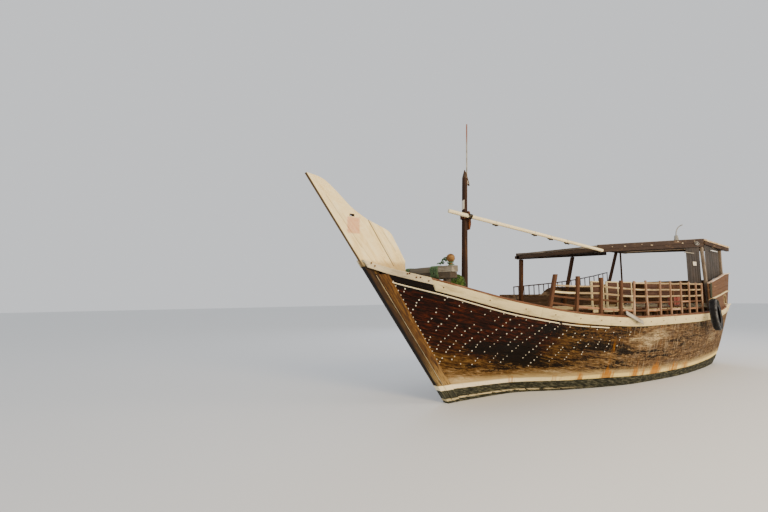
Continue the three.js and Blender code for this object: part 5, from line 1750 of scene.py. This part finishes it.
# %% After frame
for side, hand in SIDES:
    deep = 0.115 if hand > 0 else 0.045

    def aft_beam(run, across, rise, hand=hand, deep=deep):
        x = mix(CANOPY_BREAK - 0.008, CANOPY_AFT + 0.03, (run + 1) / 2)
        ys = [hand * (aft_half(x) - inset) for inset in (0.105, 0.015)]
        top = min(aft_top(x, y) for y in ys) - ROOF_THICK - 0.002
        return Vector((x, ys[1] if across > 0 else ys[0], top - (0 if rise > 0 else deep)))

    keep(sawn("canopy_aft_beam_" + side, aft_beam, 3, 0.006), edge_teak, slot="dark_timber",
         stands_for=["canopy_aft_frame"])
for i, centre in enumerate((CANOPY_BREAK - 0.05, (CANOPY_BREAK + CANOPY_AFT) / 2, CANOPY_AFT + 0.07)):
    def aft_cross(run, across, rise, centre=centre):
        x = centre + 0.035 * across
        y = run * (aft_half(x) - 0.06)
        deep = mix(0.038, 0.09, (run + 1) / 2)
        return Vector((x, y, aft_top(x, y) - ROOF_THICK - 0.002 - (0.008 if rise > 0 else deep)))

    keep(sawn("canopy_aft_cross_beam_%d" % (i + 1), aft_cross, 3, 0.005), brown_teak, slot="dark_timber",
         way=(0, 1, 0), stands_for=["canopy_aft_frame"])

# %% [markdown]
# ### Posts
# The posts are squared by adze. Those on the near side are given a pale grey, painted light, and those on the
# far side a brown, painted shade. The model's own posts have the right lean, so they are copied and their
# edges eased.

# %% Canopy posts
# The far posts' dark brown is painted shade, and the near posts' pale grey is painted light.
far_shaded_teak = timber("brown_canopy_post_teak", "#25140b", "#4a2e1d", "#705136", 0.3)
near_lit_teak = timber("pale_canopy_post_teak", "#41362d", "#716356", "#918575", 0.5)
for node in sorted(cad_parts):
    if node.startswith("canopy_post"):
        low, high = [Vector(corner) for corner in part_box(node)]
        near = "port" in node
        dressed(node, near_lit_teak if near else far_shaded_teak, 0.01, high - low if near else (0, 0, 1),
                slot="weathered_wood" if near else "dark_timber")

# %% [markdown]
# ## Port railing
# Four heavy posts stand forward and lighter ones aft. Each bay has its own short rails, nailed to the
# posts, and they have weathered differently: some still cream, some grey, some bare orange wood.

# %% Posts of the port railing
RAIL_POSTS = (
    # foot x, lean aft of the head, height above the cap, size
    (3.4, 0.205, 0.715, 0.095), (2.62, 0.105, 0.79, 0.09), (1.82, 0.09, 0.835, 0.09),
    (1.1, 0.1, 0.83, 0.09), (0.55, 0.08, 0.85, 0.06), (-0.08, -0.03, 0.88, 0.055),
    (-0.72, 0.06, 0.88, 0.055), (-1.3, 0.02, 0.88, 0.055), (-1.9, 0.03, 0.88, 0.055),
    (-2.4, 0.06, 0.87, 0.055), (-2.9, 0.05, 0.85, 0.055), (-3.4, 0.04, 0.84, 0.055),
)
post_teak = timber("peach_rail_post_teak", "#4d3424", "#907058", "#b39c83", 0.5)
cream_rail = painted("cream_rail_paint", "#cabb92", "#9b835a", "#644127", 0.55, 0.5)
grey_rail = timber("grey_cream_rail_teak", "#5f4c35", "#978260", "#c4b490", 0.5)
orange_rail = timber("orange_rail_teak", "#2a1a0c", "#563620", "#7c5d40", 0.3)


def rail_y(x):
    """The port railing stands 75 mm inside the edge."""
    return edge_at(x) - 0.075


for i, (x, lean, high, size) in enumerate(RAIL_POSTS):
    foot = Vector((x, rail_y(x), sheer_at(x) + CAP_THICK - 0.001))
    head = Vector((x - lean, rail_y(x - lean), foot.z + 0.002 + high))
    upright("port_rail_post_%d" % (i + 1), foot, head, size, size * 0.75,
            orange_rail if i < 4 else post_teak, 4, 0.008, slot="rail_timber", stands_for=["railing_port"])

# %% Rails of the port railing, bay by bay
RAIL_HEIGHTS = ((0.115, 0.13), (0.27, 0.33), (0.365, 0.48), (0.5, 0.65), (0.815, 0.815))
RAIL_WOODS = {"o": orange_rail, "p": pink_teak, "g": grey_rail, "c": cream_rail}
BAY_WOODS = ("oocg", "pogg", "pogg", "pogg", "ooggg", "poggg", "ooggg", "poggg", "opggg", "poggg", "ooggg")
for i, woods in enumerate(BAY_WOODS):
    for k, wood in enumerate(woods[:5]):
        ends = []
        for j in (i, i + 1):
            x, lean, high, _ = RAIL_POSTS[j]
            up = mix(*RAIL_HEIGHTS[k], min(j / 2, 1))
            px = x - lean * up / high
            ends.append(Vector((px, rail_y(px) - 0.018, sheer_at(px) + CAP_THICK + up)))
        shift = (ends[1] - ends[0]).normalized() * 0.03
        beam("port_rail_%d_%d" % (i + 1, k + 1), ends[0] - shift * 0.5, ends[1] + shift * 0.5, 0.028,
             0.044 if k != 3 else 0.038, RAIL_WOODS[wood], cuts=2, ease=0.005, bow=0.004 * ((i + k) % 3),
             slot="rail_timber", stands_for=["railing_port"])
print("port railing built")

# %% [markdown]
# ## Starboard side, quarters
# To starboard a solid washboard of planks carries a light hand rail on thin balusters. The quarters are
# boarded in, with a cream cap, a cream ledge and a framed hole in the lower board.

# %% Washboard and hand rail
WASH_SEAMS = [((0, 0, z), (0, 0, 1)) for z in (1.86, 2.03, 2.2, 2.37)]
grooved("washboard_starboard", brown_teak, WASH_SEAMS, 0.004, slot="oiled_plank")
# The far side's hand rail takes the same brown, painted shade.
dressed("railing_starboard", far_shaded_teak, 0.003, slot="dark_timber")

# %% Quarter panels
# A near-black board for behind the quarter's hole: painted shade.
hole_shade_board = timber("tarred_lining_board", "#0e0a08", "#241a14", "#3c2f26", 0.2)
dark_rope = timber("tarred_hemp_rope", "#12140f", "#2c3026", "#565847", 0.3)
quarter_teak = timber("tan_quarter_teak", "#3a2616", "#65472f", "#8d7053", 0.35)
quarter_cap = timber("pale_quarter_cap_teak", "#9e8068", "#c6b19d", "#d6cabb", 0.6)
QUARTER_FORE, QUARTER_AFT = -3.89, -6.05
QUARTER_RAKE = 0.33


def quarter_top(x, hand):
    """The starboard quarter stands lower."""
    return mix(2.56, 2.915 if hand > 0 else 2.74, share_of(x, QUARTER_FORE, QUARTER_AFT))


def ledge_top(x):
    """Top of the ledge."""
    return mix(2.065, 2.335, share_of(x, QUARTER_FORE, QUARTER_AFT))


def quarter_foot(x):
    """The quarter stands on the cap."""
    return sheer_at(x) + CAP_THICK + 0.002


def between(low, high, share):
    """A height a share of the way between two others, as a function of x."""
    return lambda x: mix(low(x), high(x), share)


HOLE = ((-5.79, -5.55), (1.91, 2.16))


def quarter_board(name, hand, run_x, low, high, inner, outer, material, ease=0.004, cuts=5):
    """A board of the quarter between two lines, inner and outer metres inside the hull's edge."""
    def place(run, side, rise):
        x = mix(*run_x, (run + 1) / 2)
        z = high(x) if rise > 0 else low(x)
        # The after ends overhang the transom, more so the higher they are
        overhang = max(z - 1.85, 0) * QUARTER_RAKE if run_x[1] == QUARTER_AFT and run > 0.99 else 0
        return Vector((x - overhang, hand * (edge_at(x) - (outer if side > 0 else inner)), z))

    return keep(sawn(name, place, cuts, ease), material, slot="rail_timber", way=along_sheer)


def level(z):
    """A level line."""
    return lambda x: z


def under(line, drop):
    """A line drop metres below another."""
    return lambda x: line(x) - drop


RUN_ALL = (QUARTER_FORE, QUARTER_AFT)
(HOLE_AFT, HOLE_FORE), (HOLE_LOW, HOLE_HIGH) = HOLE
JAMB = 0.03
for side, hand in SIDES:
    def cap_line(x, hand=hand):
        return quarter_top(x, hand)

    boards = []
    for k in range(3):
        foot, head = [between(under(ledge_top, 0.02), under(cap_line, 0.03), row / 3) for row in (k, k + 1)]
        boards.append(quarter_board("quarter_upper", hand, RUN_ALL, foot, under(head, 0.003), 0.052,
                                    0.012 + 0.001 * (k % 2), quarter_teak))
    for run, foot, head, cuts in (
        ((QUARTER_FORE, HOLE_FORE), quarter_foot, under(ledge_top, 0.03), 5),
        ((HOLE_AFT, QUARTER_AFT), quarter_foot, under(ledge_top, 0.03), 5),
        ((HOLE_FORE, HOLE_AFT), level(HOLE_HIGH), under(ledge_top, 0.03), 1),
        ((HOLE_FORE, HOLE_AFT), quarter_foot, level(HOLE_LOW), 1),
    ):
        boards.append(quarter_board("quarter_lower", hand, run, foot, head, 0.052, 0.012, quarter_teak,
                                    cuts=cuts))
    pieces = [gather("quarter_boards_" + side, boards)]
    pieces.append(quarter_board("quarter_cap_" + side, hand, RUN_ALL, under(cap_line, 0.034), cap_line, 0.048,
                                -0.026, quarter_cap, 0.007, 10))
    pieces.append(quarter_board("quarter_ledge_" + side, hand, RUN_ALL, under(ledge_top, 0.045), ledge_top,
                                0.048, -0.022, cream_rail, 0.007, 10))
    jambs = []
    for run, foot, head, outer in (
        ((HOLE_FORE + 0.035, HOLE_FORE), HOLE_LOW - JAMB, HOLE_HIGH + JAMB, -0.006),
        ((HOLE_AFT, HOLE_AFT - 0.035), HOLE_LOW - JAMB, HOLE_HIGH + JAMB, -0.006),
        ((HOLE_FORE, HOLE_AFT), HOLE_HIGH, HOLE_HIGH + JAMB, -0.004),
        ((HOLE_FORE, HOLE_AFT), HOLE_LOW - JAMB, HOLE_LOW, -0.004),
    ):
        jambs.append(quarter_board("hole_jamb", hand, run, level(foot), level(head), 0.02, outer,
                                   grey_rail, cuts=0))
    pieces.append(gather("quarter_hole_frame_" + side, jambs))
    for piece in pieces:
        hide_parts("quarter_panel_" + side)
# It stands just inboard of the port hole so that the hole looks dark inside: painted shade.
boxed("quarter_lining_board", (-6.02, -5.4), (edge_at(-6.0) - 0.071, edge_at(-6.0) - 0.057), (1.87, 2.24),
      hole_shade_board, 0.004, slot="dark_timber")
hank = []
chance = random.Random("hank")
for k in range(110):
    turn = 2 * math.pi * k / 17
    drop = mix(2.56, 2.1, (1 + math.cos(turn)) / 2) if k > 12 else 2.5
    x = -3.93 - 0.06 * (k / 110) + 0.03 * math.sin(turn)
    y = edge_at(-3.93) + 0.016 + 0.02 * math.sin(turn * 0.5) ** 2
    hank.append(Vector((x, y, drop + chance.uniform(-0.012, 0.012))))
tube("quarter_rope_hank", hank, 0.011, dark_rope, 6, slot="net")
print("quarters boarded")

# %% [markdown]
# ## Seats
# The seats are slatted benches. Their backs have a cream top rail and cream posts with a brown board
# between, and the front edge of the seat is cream too.

# %% Benches
SEATS = (
    # node, fore and aft x, inner and outer y, backs between these x
    ("bench_port_fore", 1.5, -0.56, 0.78, 1.225, ((1.46, 0.9), (0.76, 0.18), (0.02, -0.54))),
    ("bench_port_aft", -1.25, -3.98, 0.78, 1.225, ((-1.29, -2.1), (-2.16, -2.98), (-3.04, -3.94))),
    ("bench_starboard", 1.2, -4.2, -1.5, -1.08, ()),
)
panel_teak = timber("brown_seat_back_teak", "#1e120c", "#43291d", "#6d4e3c", 0.35)


def deck_at(x):
    """Top of the deck above a place on the centreline."""
    return sheer_at(x) - 0.29


SEAT_TOPS = {}
for node, fore, aft, y0, y1, backs in SEATS:
    top = max(deck_at(fore - 0.06), deck_at(aft + 0.06)) + 0.481
    SEAT_TOPS[node] = top
    seat = {"slot": "rail_timber", "stands_for": [node]}
    painted_wood = orange_rail if node == "bench_port_aft" else cream_rail
    for k in range(4):
        low, high = mix(y0, y1, k / 4) + 0.004, mix(y0, y1, (k + 1) / 4) - 0.004
        boxed("%s_slat_%d" % (node, k + 1), (aft, fore), (low, high), (top - 0.032, top),
              painted_wood if k in (0, 3) else pink_teak, 0.005, cuts=2, **seat)
    for k, y in enumerate((y0 + 0.035, y1 - 0.035)):
        boxed("%s_rail_%d" % (node, k + 1), (aft + 0.02, fore - 0.02), (y - 0.02, y + 0.02),
              (top - 0.11, top - 0.034), cream_rail, 0.004, **seat)
        for j in range(5):
            x = mix(fore - 0.045, aft + 0.045, j / 4)
            upright("%s_leg_%d_%d" % (node, k + 1, j + 1), (x, y, deck_at(x)), (x, y, top - 0.036), 0.05,
                    0.05, orange_rail, 1, 0.005, **seat)
    for j in range(5):
        x = mix(fore - 0.045, aft + 0.045, j / 4)
        boxed("%s_bearer_%d" % (node, j + 1), (x - 0.02, x + 0.02), (y0 + 0.01, y1 - 0.01),
              (top - 0.075, top - 0.034), orange_rail, 0.004, (0, 1, 0), **seat)
    for j, (a, b) in enumerate(backs):
        for k, x in enumerate((a - 0.022, b + 0.022)):
            upright("%s_back_post_%d_%d" % (node, j + 1, k + 1), (x, y1 - 0.025, top - 0.02),
                    (x, y1 - 0.025, 2.545), 0.044, 0.04, painted_wood, 2, 0.005, **seat)
        for k in range(3):
            low, high = mix(2.15, 2.53, k / 3) + 0.002, mix(2.15, 2.53, (k + 1) / 3) - 0.002
            boxed("%s_back_board_%d_%d" % (node, j + 1, k + 1), (b + 0.04, a - 0.04),
                  (y1 - 0.038 + 0.001 * k, y1 - 0.016), (low, high), panel_teak, 0.004, **seat)
        boxed("%s_back_rail_%d" % (node, j + 1), (b, a), (y1 - 0.05, y1), (2.53, 2.56), painted_wood,
              0.006, **seat)
print("seat tops", {node: round(top, 3) for node, top in SEAT_TOPS.items()})

# %% [markdown]
# ## Cushions
# Two seat cushions in faded red cotton stand against the after back. Padding is best made by pressure:
# the closed form is remeshed finely, Blender's cloth blows it up a little, and a cap keeps each point
# within a centimetre of where it began. The seam and its piping come after.

# %% Red cotton
red_cotton, shader, place = new_material("faded_red_cotton_canvas")
# Threads are 2 mm apart here, coarser than the real 0.5 mm, so that they show
yarn = {"Vector": place, "Scale": 80.0, "Distortion": 0.6}
threads = [add_node(place, "TexWave", yarn, output=1, bands_direction=way) for way in ("X", "Z")]
weave = maths("MAXIMUM", *threads)
fade = noise(place, (0.12, 0.12, 0.12), 5, 0.65)
cotton_colour = ramp(fade, (0.34, "#501712"), (0.5, "#793028"), (0.68, "#95584b"))
cotton_colour = lay_over(weave * 0.25, cotton_colour, "#c97264")
finish_surface(shader, cotton_colour, fade * 0.1 + 0.82, weave, 0.0015, 0.5)
shader.inputs["Sheen Weight"].default_value = 0.25

# %% A cushion blown up by cloth pressure
for node in ("cushion_1", "cushion_2"):
    low, high = [Vector(corner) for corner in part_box(node)]
    middle, half = (low + high) / 2, (high - low) / 2
    inset = 0.014

    def pad(run, side, rise, middle=middle, half=half):
        # Sides pull in between the corners, as sewn cloth does
        pinch = 1 - 0.035 * (1 - run * run) * (abs(rise) > 0.9)
        x = run * (half.x - inset) * (1 - 0.03 * (1 - rise * rise))
        return middle + Vector((x, side * (half.y - inset) * pinch, rise * (half.z - inset) * pinch))

    cushion = sawn(node + "_cotton", pad, 5, 0.02)
    select_only(cushion)
    skin = cushion.modifiers.new("skin", "REMESH")
    skin.mode = "VOXEL"
    skin.voxel_size = 0.006
    apply_all(cushion)
    start = [vertex.co.copy() for vertex in cushion.data.vertices]
    cloth = cushion.modifiers.new("pressure", "CLOTH")
    cloth.settings.use_pressure = True
    cloth.settings.uniform_pressure_force = 4
    cloth.settings.effector_weights.gravity = 0
    cloth.point_cache.frame_start = 1
    cloth.point_cache.frame_end = 20
    for step in range(1, 21):
        bpy.context.scene.frame_set(step)
    shaped = cushion.evaluated_get(bpy.context.evaluated_depsgraph_get())
    blown = [vertex.co.copy() for vertex in shaped.data.vertices]
    cushion.modifiers.remove(cloth)
    bpy.context.scene.frame_set(1)
    for vertex, before, after in zip(cushion.data.vertices, start, blown):
        move = after - before
        if move.length > 0.014:
            move *= 0.014 / move.length
        vertex.co = before + move
    round_off = cushion.modifiers.new("round", "SUBSURF")
    round_off.levels = round_off.render_levels = 1
    apply_all(cushion)
    # The weight of the cushion flattens it where it stands
    for vertex in cushion.data.vertices:
        vertex.co.z = max(vertex.co.z, low.z + 0.001)
    keep(cushion, red_cotton, slot="cushion_cloth", stands_for=[node], way=None, smooth=180)
    rim = []
    for c, s in circle(64):
        reach = 1 / (abs(c) ** 8 + abs(s) ** 8) ** (1 / 8)
        rise = max(s * reach * (half.z - 0.006), -half.z + 0.012)
        rim.append(middle + Vector((c * reach * (half.x - 0.005), 0, rise)))
    tube(node + "_piping", rim, 0.005, red_cotton, 6, True, slot="cushion_cloth", stands_for=[node])
    print(node, len(cushion.data.polygons), "faces")

# %% [markdown]
# ## Side curtains
# Brown cloth is nailed up under the canopy's side on the port quarter, and hangs in shallow folds. Each
# is one sheet. A grid is pushed into folds that grow towards the free lower edge, and a thin wall is
# given to it. What the sheet measured flat comes from the length of its folds.

# %% Brown curtain cloth
curtain_cloth, shader, place = new_material("brown_shade_cloth")
# Tapes are 6 mm apart, the real 3 mm weave drawn twice as coarse so that it shows
tape = {"Vector": place, "Scale": 26.0, "Distortion": 0.4}
tapes = [add_node(place, "TexWave", tape, output=1, bands_direction=way) for way in ("X", "Z")]
weave = maths("MAXIMUM", *tapes)
stain = noise(place, (0.4, 0.4, 0.5), 6, 0.65)
curtain_colour = ramp(stain, (0.34, "#120e0b"), (0.5, "#231c17"), (0.66, "#352c26"))
curtain_colour = lay_over(weave * 0.22, curtain_colour, "#3c332c")
finish_surface(shader, curtain_colour, stain * 0.1 + 0.82, weave, 0.002, 0.4)
shader.inputs["Sheen Weight"].default_value = 0.15

# %% Two hung sheets
CLOTH_THICK = 0.003


def hung_sheet(name, node, x_range, y_at, low_at, high_at, folds, deep=0.007):
    """A curtain with folds."""
    columns, rows = 120, 40
    piece, order = grid_piece(name, columns, rows)
    mesh = piece.data
    lengths = [0.0] * rows
    points = []
    for c in range(columns):
        column = []
        for r in range(rows):
            run, rise = c / (columns - 1), r / (rows - 1)
            x = mix(*x_range, run)
            wave = math.sin(run * folds * 2 * math.pi + 0.7 * math.sin(run * 9 + rise * 2))
            wave += 0.4 * math.sin(run * folds * 4.6 * math.pi + 1.3)
            depth = deep * mix(1.0, 0.35, rise)
            column.append(Vector((x, y_at(x) + wave * depth * 0.7, mix(low_at(x), high_at(x), rise))))
        points.append(column)
    for c in range(columns):
        for r in range(rows):
            mesh.vertices[order[c * rows + r]].co = points[c][r]
            if c:
                lengths[r] += (points[c][r] - points[c - 1][r]).length
    mesh.update()
    wall = piece.modifiers.new("wall", "SOLIDIFY")
    wall.thickness = CLOTH_THICK
    wall.offset = 0
    apply_all(piece)
    keep(piece, curtain_cloth, slot="curtain_cloth", stands_for=[node], way=None, smooth=60)
    return piece


hung_sheet("curtain_fore_cloth", "curtain_fore", (-3.45, -4.32), lambda x: roof_half(x) - 0.04,
           lambda x: 2.52, lambda x: roof_under(x) - beam_deep(x) - 0.0045, 5)


def aft_curtain_high(x):
    """Just under the after roof's side beam."""
    return aft_top(x, aft_half(x) - 0.015) - ROOF_THICK - 0.002 - 0.115 - 0.0065


hung_sheet("curtain_aft_cloth", "curtain_aft", (-4.57, -5.83),
           lambda x: mix(1.6, 1.565, share_of(x, -4.57, -5.83)),
           lambda x: mix(2.6, 2.8, share_of(x, -4.57, -5.83)), aft_curtain_high, 6)

# %% [markdown]
# ## Tyre fender
# An old truck tyre hangs on the port quarter. Its section is drawn once and spun, and the shoulders are
# then notched into lugs. Its rounded shoulders and inner edge are greyer, on both faces alike.

# %% Tyre
rubber, shader, place = new_material("weathered_truck_tyre_rubber")
dust = noise(place, (0.08, 0.08, 0.08), 6, 0.7)
fine = noise(place, (0.008, 0.008, 0.008), 4, 0.7)
grey_ring_share = add_node(place, "Attribute", output="Fac", attribute_name="scuffed")
rubber_colour = ramp(dust, (0.35, "#0b0b0d"), (0.55, "#17181b"), (0.7, "#2c2d30"))
rubber_colour = lay_over(grey_ring_share * band(dust, 0.36, 0.6) * 0.8, rubber_colour, "#6c6e71")
finish_surface(shader, rubber_colour, dust * 0.2 + 0.62, fine, 0.001)

TYRE_LOW, TYRE_HIGH = [Vector(corner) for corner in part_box("tyre_fender")]
tyre_mid = (TYRE_LOW + TYRE_HIGH) / 2
TYRE_YAW, TYRE_LEAN = 0.18, 0.08
# Half sections of the casing: radius, distance off its middle plane and how grey it is
TYRE_OUTSIDE = (
    (0.255, -0.068, 0), (0.262, -0.078, 0.5), (0.29, -0.0865, 0.1), (0.35, -0.0905, 0), (0.4, -0.0915, 0),
    (0.42, -0.088, 1), (0.436, -0.076, 1), (0.446, -0.058, 0.2), (0.4485, -0.036, 0), (0.441, -0.032, 0),
    (0.441, -0.026, 0), (0.4495, -0.022, 0), (0.45, -0.006, 0), (0.442, -0.003, 0),
)
TYRE_INSIDE = ((0.27, 0.054, 0), (0.31, 0.066, 0), (0.37, 0.07, 0), (0.402, 0.06, 0), (0.416, 0.03, 0))


def with_mirror(half, middle=()):
    """A half section, its middle points and the other half."""
    return half + middle + tuple((r, -w, greyness) for r, w, greyness in reversed(half))


TYRE_SECTION = with_mirror(TYRE_OUTSIDE) + with_mirror(TYRE_INSIDE, ((0.419, 0, 0),))
mesh = bpy.data.meshes.new("tyre_section")
count = len(TYRE_SECTION)
mesh.from_pydata([(r, w, 0) for r, w, _ in TYRE_SECTION], [(i, (i + 1) % count) for i in range(count)], [])
tyre = new_object("tyre_fender_casing", mesh)
select_only(tyre)
SPUN = 120
with editing():
    bpy.ops.mesh.spin(steps=SPUN, angle=2 * math.pi, center=(0, 0, 0), axis=(0, 1, 0))
    bpy.ops.mesh.select_all(action="SELECT")
    bpy.ops.mesh.remove_doubles(threshold=0.0001)
    bpy.ops.mesh.normals_make_consistent(inside=False)
scuffed = tyre.data.attributes.new("scuffed", "FLOAT", "POINT")
turn_yaw = Matrix.Rotation(TYRE_YAW, 3, "Z") @ Matrix.Rotation(TYRE_LEAN, 3, "X")
for vertex in tyre.data.vertices:
    p = vertex.co
    r, w = math.hypot(p.x, p.z), p.y
    nearest = min(TYRE_SECTION, key=lambda row: (row[0] - r) ** 2 + (row[1] - w) ** 2)
    scuffed.data[vertex.index].value = nearest[2]
    step = int(round(math.atan2(p.z, p.x) / (2 * math.pi) * SPUN)) % 4
    if r > 0.43 and abs(w) > 0.05 and step < 2:
        p = Vector((p.x * (r - 0.012) / r, p.y, p.z * (r - 0.012) / r))
    vertex.co = tyre_mid + turn_yaw @ p
keep(tyre, rubber, slot="tyre_rubber", stands_for=["tyre_fender"], way=None, smooth=30)

# Rope that holds it: a loop through the tyre
loop_path = [tyre_mid + turn_yaw @ Vector((0.02 * c, 0.115 * s, 0.345 + 0.118 * c)) for c, s in circle(28)]
tube("tyre_rope_loop", loop_path, 0.012, dark_rope, 7, True, slot="net", way=(0, 0, 1))

# %% [markdown]
# ## Lamp and small gear on the canopy
# A lamp on a bent stalk stands on the port edge. At the break of the roof hang a block with its ring and
# a pale batten, and a white tube lies under the after roof.

# %% Lamp, block, batten and tube
ENAMEL = ((0.35, "#6b6a64"), (0.52, "#93928c"), (0.68, "#a6a59f"))
lamp_metal = mottled("grey_enamelled_steel", (0.04, 0.04, 0.08), ENAMEL, 0.35, 0.001, shine=0.3)
dressed("roof_lamp", lamp_metal, 0.002, None, slot="iron", smooth=60)
lamp_low, _ = [Vector(corner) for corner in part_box("roof_lamp")]
lamp_foot = primitive("roof_lamp_foot", bpy.ops.mesh.primitive_cone_add, vertices=24, radius1=0.07,
                      radius2=0.05, depth=0.17)
for vertex in lamp_foot.data.vertices:
    vertex.co += Vector((-3.6, 1.2, lamp_low.z + 0.085))
lamp_foot.location = (0, 0, 0)
ease_edges(lamp_foot, 0.012, 3, 50)
keep(lamp_foot, lamp_metal, slot="iron", way=None, smooth=40)

PLASTIC = ((0.35, "#b9bdc0"), (0.5, "#e6e8e8"), (0.7, "#f4f4f2"))
white_tube = mottled("white_pvc_tube", (0.1, 0.03, 0.03), PLASTIC, 0.25, 0.001)
tube("canopy_white_tube", [(mix(-4.93, -5.44, k / 6), 1.66, 3.6 - 0.02 * k / 6) for k in range(7)], 0.014,
     white_tube, 12, slot="cream_paint")
ring_path = [Vector((-4.03 + 0.16 * c, roof_half(-4.03) + 0.012, 3.775 + 0.05 * s)) for c, s in circle(24)]
tube("canopy_ring", [p + Vector((0, 0.02, 0)) for p in ring_path], 0.009, lamp_metal, 8, True, slot="iron")
boxed("canopy_block", (-4.08, -3.98), (roof_half(-4.0) + 0.025, roof_half(-4.0) + 0.045), (3.745, 3.8),
      lamp_metal, 0.008, slot="iron")
boxed("curtain_patch", (-4.06, -3.8), (roof_half(-3.93) - 0.028, roof_half(-3.93) - 0.026), (3.09, 3.21),
      rag_cloth, 0, slot="curtain_cloth")
boxed("canopy_batten", (-3.95, -3.25), (roof_half(-3.6) - 0.02, roof_half(-3.6) - 0.004), (3.455, 3.482),
      silver_teak, 0.004, slot="weathered_wood")

# %% Board laid over the side by the gangway place
board_from = Vector((1.1, edge_at(1.1) + 0.065, sheer_at(1.1) + CAP_THICK + 0.07))
board_to = Vector((0.48, edge_at(0.48) + 0.085, sheer_at(0.48) - 0.11))
beam("side_board", board_from, board_to, 0.11, 0.022, silver_teak, up=(0, 1, 0.4), cuts=3, ease=0.004,
     slot="weathered_wood")
print("small gear made")

# %% [markdown]
# ## What the model's own solids still show
# The nodes still shown, which no piece stands for, are listed.

# %% Nodes still shown
still_shown = sorted(name for name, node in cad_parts.items() if not node.hide_render)
print("nodes still shown", still_shown)
